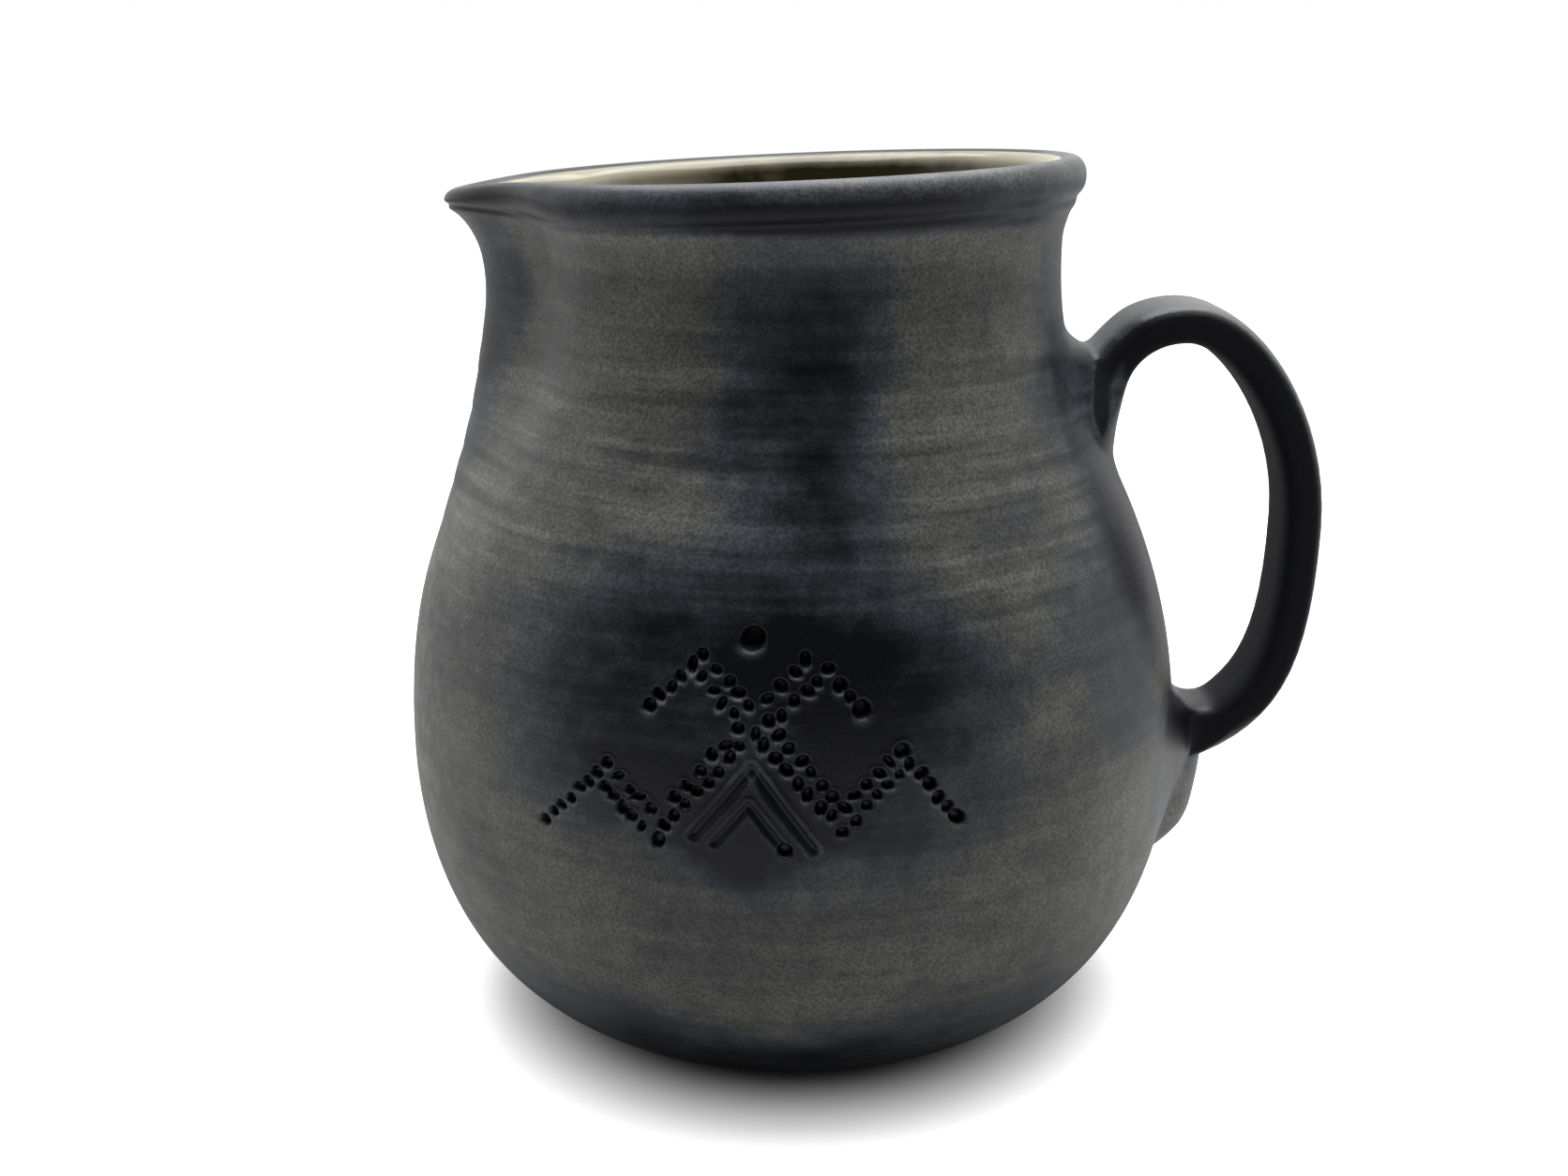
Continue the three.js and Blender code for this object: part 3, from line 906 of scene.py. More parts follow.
@dataclass(frozen=True)
class StrapSmokeAndLight:
    """Where the firing darkened the handle, partly painted shade, and where its outer face is rubbed pale,
    partly a painted highlight.

    Pairs are the limits of a fade: of a distance off the wall, of a place along X, or of how far a face looks
    sideways or away from the middle of the arch. The tail's edge lists X and heights, and the wedge's edge
    lists heights and X.
    """

    arch_middle: Pair = (65 * MM, 84 * MM)
    side_facing: Pair = (0.5, 0.72)
    side_off: Pair = (0.4 * MM, 1.5 * MM)
    inner_facing: Pair = (-0.1, 0.4)
    inner_off: Pair = (4 * MM, 9 * MM)
    wedge_side: Pair = (56 * MM, 60 * MM)
    wedge_fade: Pair = (-0.3 * MM, 1.6 * MM)
    landing: Pair = (54 * MM, 68 * MM)
    landing_off: Pair = (2 * MM, 6 * MM)
    landing_soot_and_shade: float = 0.5
    bare_and_lit_facing: Pair = (0.3, 0.75)
    bare_and_lit_off: Pair = (4 * MM, 8 * MM)
    tail_fade: Pair = (-MM, 0.5 * MM)
    tail_edge: tuple[Series, Series] = (
        (64.9 * MM, 67.1 * MM, 70.5 * MM, 77.9 * MM),
        (37.7 * MM, 42.0 * MM, 42.3 * MM, 49.3 * MM),
    )
    wedge_edge: tuple[Series, Series] = (
        (93.9 * MM, 101.6 * MM, 106.6 * MM, 110.8 * MM, 114 * MM, 116 * MM),
        (50.0 * MM, 49.9 * MM, 50.4 * MM, 52.4 * MM, 60 * MM, 120 * MM),
    )

    def masks(self, points: np.ndarray, normals: np.ndarray, off: np.ndarray) -> dict[str, np.ndarray]:
        """Find how dark each point is, partly painted shade, and how rubbed, partly a painted highlight.

        Args:
            points: One row of X, Y and Z per point.
            normals: The way the surface faces there.
            off: Distances off the wall.

        Returns:
            Shares by the name of their attribute.
        """
        across, height = points[:, 0], points[:, 2]
        # Darkening mixed with painted shade: side faces, the wedge by the upper root, the loop's inner face
        # and the root itself go darker by which way they face and where they sit.
        sideways = smoothstep(np.abs(normals[:, 1]), *self.side_facing) * smoothstep(off, *self.side_off)
        past_wedge = across - np.interp(height, *self.wedge_edge)
        upper = height > self.arch_middle[1]
        by_wall = upper * (1 - smoothstep(across, *self.wedge_side))
        sideways *= 1 - smoothstep(past_wedge, *self.wedge_fade) * by_wall
        spoke = points[:, ::2] - self.arch_middle
        outwards = (normals[:, ::2] * spoke).sum(axis=1) / np.linalg.norm(spoke, axis=1)
        inner = smoothstep(off, *self.inner_off) * (1 - smoothstep(outwards, *self.inner_facing))
        landed = (1 - smoothstep(across, *self.landing)) * smoothstep(off, *self.landing_off)
        black_and_shade = np.maximum(np.maximum(sideways, inner), self.landing_soot_and_shade * landed * upper)
        past_tail = height - np.interp(across, *self.tail_edge)
        black_and_shade *= smoothstep(past_tail, *self.tail_fade)
        # Rubbed clay mixed with a painted highlight: the arch's outer face goes paler where it faces out from
        # the loop.
        bare_and_lit = smoothstep(off, *self.bare_and_lit_off) * smoothstep(outwards, *self.bare_and_lit_facing)
        return {"blackened_and_shaded": black_and_shade, "bared_and_lit": (1 - landed) * bare_and_lit}


@dataclass
class StrapHandle:
    """The pulled strap with its pressed tail, smeared onto the wall at both roots."""

    form: ThrownForm
    strap_top: float = 119.6 * MM
    strap_reach: float = 88.3 * MM
    arch_reach: float = 64 * MM
    grip_height: float = 82 * MM
    arch: Section = Section(18 * MM, 6.8 * MM)
    grip: Section = Section(15.5 * MM, 6.5 * MM)
    upper_root: Section = Section(40 * MM, 10 * MM)
    lower_root: Section = Section(14 * MM, 8.2 * MM)
    upper_root_height: float = 88 * MM
    lower_root_height: float = 42 * MM
    upper_sink: float = 7.6 * MM
    lower_sink: float = 4 * MM
    landing_power: float = 3
    root_lean: float = 0
    root_rise: float = 0.75
    arch_entry: float = 0.6
    arch_exit: float = 0.42
    grip_entry: float = 0.54
    grip_exit: float = 0.72
    return_run: float = 0.73
    return_rise: float = 0.13
    tail: PressedEnd = PressedEnd(
        PressedSpot(50 * MM, Section(15 * MM, 11 * MM)),
        PressedSpot(43 * MM, Section(21 * MM, 6.8 * MM)),
        PressedSpot(31.5 * MM, Section(26 * MM, 6.6 * MM)),
        PressedSpot(17.5 * MM, Section(12 * MM, 0)),
        1.5,
    )
    upper_bed: Swelling = Swelling(90 * MM, 109.2 * MM, 110.2 * MM, 115.2 * MM, 4 * MM, 28 * MM, 4.4 * MM)
    lower_bed: Swelling = Swelling(28 * MM, 45 * MM, 46.5 * MM, 56.5 * MM, 2 * MM, 30 * MM, 4.4 * MM)
    sink: float = 6 * MM
    sides: int = 36
    strap_squareness: float = 4
    root_squareness: float = 1.8
    flare_start: float = 0.05
    flare_end: float = 0.5
    spans: int = 16
    patch_inset: float = 0.12 * MM
    patch_depth: float = 2 * MM
    patch_sweep: float = 64
    patch_steps: int = 56
    patch_spacing: float = 2 * MM
    upper_patch: Pair = (82 * MM, 124 * MM)
    lower_patch: Pair = (14 * MM, 66 * MM)
    voxel: float = 0.52 * MM
    smooth_factor: float = 0.5
    least_smear: float = 0.01
    first_rounds: int = 3
    blend_reach: Pair = (4 * MM / 3, 4 * MM)
    blend_rounds: int = 14
    strap_edge: Pair = (7 * MM, 9 * MM)
    arch_foot: Pair = (88 * MM, 94 * MM)
    arch_head: Pair = (110 * MM, 114 * MM)
    edge_kept: float = 0.8
    crooks: tuple[Triple, ...] = (
        (51 * MM, 111 * MM, 8 * MM),
        (67 * MM, 52.5 * MM, 9 * MM),
    )
    crook_rounds: int = 90
    bend_reach: Pair = (MM, 8 * MM)
    bedded: float = 2.4 * MM
    skin: float = 0.03 * MM
    skin_end: float = MM
    smoke_and_light: StrapSmokeAndLight = StrapSmokeAndLight()

    def wall_reach(self, height: np.ndarray) -> np.ndarray:
        """Find how far out the wall stands on the handle's side.

        Args:
            height: Heights above the base.

        Returns:
            Distances from the axis.
        """
        wall = self.form.outside()
        placed = self.form.place(wall[:, 0], wall[:, 1], np.full(len(wall), math.pi))
        return np.interp(height, placed[:, 2], placed[:, 0])

    def stations(self) -> list[Station]:
        """Set cross-sections along the strap, from the shoulder over the arch to the belly.

        Returns:
            The sections in order.
        """
        start = (self.wall_reach(self.upper_root_height) - self.upper_sink, self.upper_root_height)
        top = (self.arch_reach, self.strap_top - self.arch.thickness / 2)
        out = (self.strap_reach - self.grip.thickness / 2, self.grip_height)
        end = (self.wall_reach(self.lower_root_height) - self.lower_sink, self.lower_root_height)
        leave = between(start, top, self.root_lean, self.root_rise)
        to_top = between(top, start, self.arch_entry, 0)
        over = between(top, out, self.arch_exit, 0)
        to_grip = between(out, top, 0, self.grip_entry)
        down = between(out, end, 0, self.grip_exit)
        to_end = between(end, out, self.return_run, self.return_rise)
        share = np.linspace(0, 1, self.spans + 1)
        rooted = smoothstep(share, self.flare_start, self.flare_end)
        eased = smoothstep(share, 0, 1)
        landing = share**self.landing_power
        runs = [
            (bezier([start, leave, to_top, top], self.spans), self.upper_root, self.arch, rooted),
            (bezier([top, over, to_grip, out], self.spans), self.arch, self.grip, eased),
            (bezier([out, down, to_end, end], self.spans), self.grip, self.lower_root, landing),
        ]
        found: list[Station] = []
        for line, first, last, blend in runs:
            slope = np.gradient(line, axis=0)
            root = self.root_squareness if first is self.upper_root else self.strap_squareness
            for (x, z), (dx, dz), part in list(zip(line, slope, blend))[1 if found else 0 :]:
                square = root + (self.strap_squareness - root) * part
                found.append(Station(x, z, math.atan2(dx, dz), first.towards(last, part), square))
        return found

    def tail_stations(self) -> list[Station]:
        """Set cross-sections down the tail that was pressed onto the wall, sunk a little into it.

        Returns:
            The sections in order.
        """
        tail = self.tail
        found = []
        for height in np.linspace(tail.head.height, tail.end.height, self.spans + 1):
            proud = tail.proud(height)
            thickness = proud.thickness + self.sink
            x = self.wall_reach(height) + proud.thickness - thickness / 2
            section = Section(proud.width, thickness)
            found.append(Station(x, height, math.pi, section, tail.squareness))
        return found

    def pull(self, name: str, stations: list[Station]) -> bpy.types.Object:
        """Pull a strap of clay through its cross-sections.

        Args:
            name: Name of the new object.
            stations: Sections in order.

        Returns:
            The pulled solid.
        """
        bpy.ops.object.select_all(action="DESELECT")
        bpy.ops.mesh.primitive_circle_add(vertices=self.sides, radius=1, fill_type="NGON")
        piece = bpy.context.object
        piece.name = name
        first = stations[0]
        flat = points_of(piece)
        flat = np.sign(flat) * np.abs(flat) ** (2 / first.squareness)
        flat *= (first.section.thickness / 2, first.section.width / 2, 0)
        cosine, sine = math.cos(first.lean), math.sin(first.lean)
        turned = np.stack((flat[:, 0] * cosine, flat[:, 1], -flat[:, 0] * sine), axis=1)
        move_points(piece, turned + (first.x, 0, first.z))
        bpy.ops.object.mode_set(mode="EDIT")
        bpy.ops.mesh.select_all(action="SELECT")
        for before, after in zip(stations, stations[1:]):
            step = (after.x - before.x, 0, after.z - before.z)
            thicker = after.section.thickness / before.section.thickness
            wider = after.section.width / before.section.width
            centre = (after.x, 0, after.z)
            bpy.ops.mesh.extrude_region_move(TRANSFORM_OT_translate={"value": step})
            lean = before.lean - after.lean
            bpy.ops.transform.rotate(value=lean, orient_axis="Y", center_override=centre)
            bpy.ops.transform.resize(value=(thicker, wider, thicker), center_override=centre)
        bpy.ops.mesh.select_all(action="SELECT")
        bpy.ops.mesh.normals_make_consistent(inside=False)
        bpy.ops.object.mode_set(mode="OBJECT")
        rings = points_of(piece).reshape(len(stations), self.sides, 3)
        for ring, station in zip(rings, stations):
            through = np.array((math.cos(station.lean), 0, -math.sin(station.lean)))
            middle = np.array((station.x, 0, station.z))
            half = np.array((station.section.thickness, station.section.width)) / 2
            shares = np.stack(((ring - middle) @ through, ring[:, 1]), axis=1) / half
            power = first.squareness / station.squareness
            shares = np.sign(shares) * np.abs(shares) ** power * half
            ring[:] = middle + shares[:, :1] * through + shares[:, 1:] * np.array((0, 1, 0))
        move_points(piece, rings.reshape(-1, 3))
        return piece

    def settle(self, piece: bpy.types.Object) -> bpy.types.Object:
        """Bend the clay next to the wall round it and keep what is sunk within its thickness.

        Args:
            piece: Strap or tail.

        Returns:
            The same piece.
        """
        points = points_of(piece)
        reach = self.wall_reach(points[:, 2])
        near = 1 - smoothstep(points[:, 0] - reach, *self.bend_reach)
        points[:, 0] += (np.sqrt(reach**2 - points[:, 1] ** 2) - reach) * near
        push_out(piece, points, np.maximum(-self.form.off_wall(points) - self.bedded, 0))
        return piece

    def wall_patch(self, name: str, span: Pair, bed: Swelling) -> bpy.types.Object:
        """Cut a patch of wall behind a root, for the clay to be smeared onto.

        Args:
            name: Name of the new object.
            span: Heights of the patch's lower and upper edge.
            bed: Clay smeared over it.

        Returns:
            The patch as a thin solid just under the wall's surface, swollen beside the root.
        """
        wall = self.form.outside()
        face = evenly(wall[(wall[:, 1] > span[0]) & (wall[:, 1] < span[1])], self.patch_spacing)
        front = face - (self.patch_inset, 0)
        back = (face - (self.patch_inset + self.patch_depth, 0))[::-1]
        sweep = math.radians(self.patch_sweep)
        piece = spin_profile(name, np.vstack((front, back, front[:1])), self.patch_steps, sweep)
        points = points_of(piece)
        turned = np.arctan2(points[:, 1], points[:, 0])
        angle = math.pi + turned - (turned.min() + turned.max()) / 2
        points = self.form.place(radius_of(points), points[:, 2], angle)
        in_front = self.form.off_wall(points) > -self.patch_inset - self.patch_depth / 2
        push_out(piece, points, bed.stands_off(points) * in_front)
        bpy.ops.object.mode_set(mode="EDIT")
        bpy.ops.mesh.select_all(action="DESELECT")
        bpy.ops.mesh.select_non_manifold()
        bpy.ops.mesh.fill()
        bpy.ops.mesh.select_all(action="SELECT")
        bpy.ops.mesh.normals_make_consistent(inside=False)
        bpy.ops.object.mode_set(mode="OBJECT")
        return piece

    def build(self) -> bpy.types.Object:
        """Pull the strap, press its tail on and smear both roots onto the wall.

        Returns:
            The finished piece.
        """
        strap = self.settle(self.pull("handle_strap", self.stations()))
        tail = self.settle(self.pull("tail", self.tail_stations()))
        upper = self.wall_patch("upper_patch", self.upper_patch, self.upper_bed)
        lower = self.wall_patch("lower_patch", self.lower_patch, self.lower_bed)
        bpy.ops.object.select_all(action="DESELECT")
        for piece in (tail, upper, lower, strap):
            piece.select_set(True)
        bpy.context.view_layer.objects.active = strap
        bpy.ops.object.join()
        apply_modifier(strap, "REMESH", mode="VOXEL", voxel_size=self.voxel, use_smooth_shade=True)
        points = points_of(strap)
        height = points[:, 2]
        smeared = 1 - smoothstep(self.form.off_wall(points), *self.blend_reach)
        edge = smoothstep(np.abs(points[:, 1]), *self.strap_edge)
        edge = edge * (smoothstep(height, *self.arch_foot) - smoothstep(height, *self.arch_head))
        smeared *= 1 - self.edge_kept * edge
        crook = np.zeros(len(points))
        for x, z, reach in self.crooks:
            away = np.hypot(points[:, 0] - x, height - z)
            crook = np.maximum(crook, 1 - smoothstep(away, reach / 2, reach))
        apply_modifier(strap, "SMOOTH", factor=self.smooth_factor, iterations=self.first_rounds)
        self.smear(strap, crook * (1 - edge), self.crook_rounds)
        self.smear(strap, smeared, self.blend_rounds)
        self.feather(strap)
        return shade_smooth(strap)

    def smear(self, piece: bpy.types.Object, weights: np.ndarray, rounds: int) -> None:
        """Smooth the clay where it was smeared.

        Args:
            piece: The handle.
            weights: How far each point was smeared, from 0 to 1.
            rounds: Number of rounds.
        """
        group = piece.vertex_groups.new(name="smeared")
        for index in np.nonzero(weights > self.least_smear)[0]:
            group.add([int(index)], float(weights[index]), "REPLACE")
        settings = {"factor": self.smooth_factor, "iterations": rounds, "vertex_group": group.name}
        apply_modifier(piece, "SMOOTH", **settings)

    def feather(self, piece: bpy.types.Object) -> None:
        """Run the smeared clay out to nothing on the wall and note where the firing darkened it, with painted
        shade, and where it is rubbed pale, with a painted highlight.

        Args:
            piece: The smeared handle.
        """
        points = points_of(piece)
        off = self.form.off_wall(points)
        on_face = off > -self.patch_depth / 2
        thinned = 1 - smoothstep(off, -self.patch_inset, self.skin_end)
        lift = (self.patch_inset - self.skin) * thinned * on_face
        push_out(piece, points, lift)
        normals = np.empty(len(points) * 3)
        piece.data.vertices.foreach_get("normal", normals)
        masks = self.smoke_and_light.masks(points, normals.reshape(-1, 3), off)
        for name, values in masks.items():
            write_values(piece, name, values)


class Graph:
    """Adds and links the nodes of one tree."""

    def __init__(self, tree: bpy.types.NodeTree) -> None:
        """Keep the tree."""
        self.tree = tree

    def add(self, kind: str, inputs: dict | None = None, **settings: object) -> bpy.types.Node:
        """Add a node.

        Args:
            kind: Node type.
            inputs: Sockets to link or values to set, by input name or index.
            settings: Properties of the node.

        Returns:
            The new node.
        """
        node = self.tree.nodes.new(kind)
        for key, value in settings.items():
            setattr(node, key, value)
        self.feed(node, inputs or {})
        return node

    def feed(self, node: bpy.types.Node, inputs: dict) -> None:
        """Link or set the inputs of a node.

        Args:
            node: Node to feed.
            inputs: Sockets to link or values to set, by input name or index.
        """
        for key, value in inputs.items():
            if isinstance(value, bpy.types.NodeSocket):
                self.tree.links.new(value, node.inputs[key])
            else:
                node.inputs[key].default_value = value

    def math(self, operation: str, first: object, second: object = 0.0) -> bpy.types.NodeSocket:
        """Add a math node."""
        return self.add("ShaderNodeMath", {0: first, 1: second}, operation=operation).outputs[0]

    def vector(self, operation: str, first: object, second: object) -> bpy.types.Node:
        """Add a vector math node."""
        return self.add("ShaderNodeVectorMath", {0: first, 1: second}, operation=operation)

    def times(self, first: object, second: object) -> bpy.types.NodeSocket:
        """Multiply two values."""
        return self.math("MULTIPLY", first, second)

    def plus(self, first: object, second: object) -> bpy.types.NodeSocket:
        """Add two values."""
        return self.math("ADD", first, second)

    def scale(self, vector: object, factor: object) -> bpy.types.NodeSocket:
        """Scale a vector or colour."""
        inputs = {0: vector, "Scale": factor}
        return self.add("ShaderNodeVectorMath", inputs, operation="SCALE").outputs[0]

    def axes(self, vector: object) -> object:
        """Split a vector."""
        return self.add("ShaderNodeSeparateXYZ", {0: vector}).outputs

    def attribute(self, name: str) -> bpy.types.NodeSocket:
        """Read a value that a piece keeps at its points."""
        return self.add("ShaderNodeAttribute", attribute_name=name).outputs["Fac"]

    def fade(self, value: object, limits: Fade, base: float = 0.0) -> bpy.types.NodeSocket:
        """Ease a value between two limits.

        Args:
            value: Value or socket.
            limits: Both limits, then the results there where they aren't 0 and 1.
            base: Where the limits are counted from.

        Returns:
            The eased value.
        """
        start, end = limits[2:] or (0.0, 1.0)
        inputs = {"Value": value, "From Min": base + limits[0], "From Max": base + limits[1]}
        inputs.update({"To Min": start, "To Max": end})
        return self.add("ShaderNodeMapRange", inputs, interpolation_type="SMOOTHSTEP").outputs["Result"]

    def noise(self, vector: object, scale: float, detail: float, roughness: float = 0.5) -> bpy.types.Node:
        """Add a noise texture."""
        inputs = {"Vector": vector, "Scale": scale, "Detail": detail, "Roughness": roughness}
        return self.add("ShaderNodeTexNoise", inputs)

    def mix(self, share: object, first: object, second: object) -> bpy.types.NodeSocket:
        """Mix two colours, through the sockets that the node keeps for colours."""
        node = self.add("ShaderNodeMix", {0: share, 6: first, 7: second}, data_type="RGBA")
        return node.outputs[2]


@dataclass(frozen=True)
class SmokeCloud:
    """A dark patch as a soft ellipsoid in metres, most of them blackening from the firing."""

    centre: Triple
    reach: Triple
    strength: float


@dataclass(frozen=True)
class ClayFinish:
    """Smoke-fired clay: its colours, how matte they are, and where and how far they change.

    Noises are a scale, a detail and a roughness. Fades over a place are in metres.
    """

    pale: Colour = (0.126, 0.130, 0.120, 1)
    plain: Colour = (0.090, 0.092, 0.088, 1)
    # Pale worn clay colour, also used for painted light on the lower wall on the handle's side and on the
    # strap's outer face.
    bare_and_lit: Colour = (0.206, 0.21, 0.196, 1)
    scored: Colour = (0.052, 0.053, 0.051, 1)
    # Near-black of the firing's blackening, also used for painted shade round the foot and on the strap.
    soot_and_shade: Colour = (0.0040, 0.0046, 0.0085, 1)
    speck: Colour = (0.5, 0.5, 0.48, 1)
    smoke_tint: Triple = (0.90, 0.98, 1.22)
    tinted: Fade = (0.12, 0.55)
    roughness: Fade = (0.0, 1.0, 0.48, 0.36)
    grain_roughness: Fade = (0.3, 0.7, -0.05, 0.05)
    strap_roughness: float = 0.85
    specular: float = 0.32
    bump: float = 0.085 * MM
    bump_strength: float = 0.5
    streak_relief: float = 0.6
    warp: float = 0.028
    drift_noise: Triple = (30.0, 4.0, 0.55)
    broad_noise: Triple = (22.0, 5.0, 0.6)
    mottle_noise: Triple = (38.0, 6.0, 0.5)
    streak_noise: Triple = (1.0, 4.0, 0.55)
    speckle_noise: Triple = (260.0, 4.0, 0.65)
    grain_noise: Triple = (2100.0, 4.0, 0.65)
    mottle_stretch: Triple = (1.0, 1.0, 1.7)
    streak_stretch: Triple = (26.0, 26.0, 480.0)
    broad_soot: Fade = (0.5, 0.72, 0.0, 0.35)
    cloud_edge: Pair = (0.3, 1.15)
    # Painted shade round the foot: the clay darkens towards the base, less towards the sides.
    foot_shade_shift: float = 0.006
    foot_shade: Fade = (0.010, 0.024, 0.9, 0.0)
    foot_shade_sides: Fade = (0.022, 0.044, 1.0, 0.4)
    bead_soot: Fade = (0.0, 0.002)
    bead_side: Fade = (0.020, 0.046, 1.0, 0.45)
    crest_wear: Fade = (-0.0045, -0.0015)
    crest_side: Fade = (-0.03, 0.01, 0.2, 0.7)
    far_crest: Fade = (-0.0014, -0.0006)
    far_side: Fade = (0.008, 0.018)
    mottle_pale: Fade = (0.36, 0.64)
    rings_foot: Fade = (0.066, 0.088)
    rings_head: Fade = (0.108, 0.126, 1.0, 0.3)
    rings_least: float = 0.3
    dark_lines: Fade = (0.48, 0.68, 0.0, 0.75)
    pale_lines: Fade = (0.34, 0.46, 0.45, 0.0)
    scuff_side: Fade = (-0.047, -0.063)
    scuff_speckle: Fade = (0.4, 0.62, 0.0, 0.35)
    # Painted light on the lower wall on the handle's side, mixed towards the pale worn colour.
    lit_flank_side: Fade = (0.034, 0.054)
    lit_flank_head: Fade = (0.044, 0.058, 0.8, 0.0)
    neck_pale: Fade = (-0.009, -0.002, 0.0, 0.4)
    mottle_ragged: Fade = (0.3, 0.7, 0.12, -0.12)
    speckle_ragged: Fade = (0.3, 0.7, 0.05, -0.05)
    streak_ragged: Fade = (0.35, 0.65, -0.05, 0.05)
    grain_grit: Fade = (0.36, 0.64, 0.64, 1.36)
    speckle_grit: Fade = (0.3, 0.7, 0.88, 1.12)
    speck_scale: float = 130.0
    speck_chance: float = 0.965
    speck_edge: Fade = (0.025, 0.04, 1.0, 0.0)
    # Share of the strap's darkening, which carries painted shade on its side and inner faces.
    black_and_shade_share: float = 1.2
    worn_share: float = 0.8
    # Share of the strap's rubbed clay, which carries a painted highlight.
    bared_and_lit_share: float = 0.4
    clouds: tuple[SmokeCloud, ...] = (
        SmokeCloud((-0.0055, -0.062, 0.0675), (0.045, 0.060, 0.025), 1.0),
        SmokeCloud((-0.015, -0.060, 0.0550), (0.034, 0.050, 0.0095), 0.5),
        SmokeCloud((0.003, -0.057, 0.0950), (0.024, 0.030, 0.015), 0.25),
        SmokeCloud((0.004, -0.046, 0.114), (0.018, 0.030, 0.026), 0.75),
        SmokeCloud((0.008, -0.046, 0.111), (0.012, 0.030, 0.018), 0.2),
        # These three darken the wall beside the handle's roots.
        SmokeCloud((0.044, -0.018, 0.108), (0.012, 0.020, 0.024), 0.55),
        SmokeCloud((0.053, -0.024, 0.090), (0.012, 0.020, 0.020), 0.65),
        SmokeCloud((0.066, -0.011, 0.0500), (0.014, 0.025, 0.0145), 1.6),
        SmokeCloud((0.050, -0.038, 0.076), (0.019, 0.026, 0.024), 0.6),
        SmokeCloud((-0.051, -0.012, 0.118), (0.012, 0.020, 0.030), 1.0),
        SmokeCloud((0.020, 0.058, 0.060), (0.040, 0.040, 0.034), 0.9),
        SmokeCloud((-0.030, 0.046, 0.098), (0.022, 0.030, 0.026), 0.7),
    )


@dataclass(frozen=True)
class GlazeFinish:
    """Glossy olive-brown glaze, paler near the mouth and towards the spout, where it runs thinner, with a
    painted highlight in that pale band.
    """

    thin_and_highlit: Colour = (0.36, 0.33, 0.235, 1)
    thick: Colour = (0.030, 0.025, 0.010, 1)
    roughness: float = 0.16
    pool_noise: Triple = (60.0, 5.0, 0.6)
    pooled: Fade = (0.35, 0.65, -0.2, 0.2)
    # Thinner glaze with a painted highlight, near the mouth and towards the spout.
    mouth_thin_and_highlit: Fade = (-0.0005, 0.002, 0.0, 0.85)
    spout_thin_and_highlit: Fade = (-0.008, 0.0)
    spout_side: Fade = (-0.004, -0.03, 0.0, 0.5)
    ripple: float = 0.3 * MM
    ripple_strength: float = 0.4


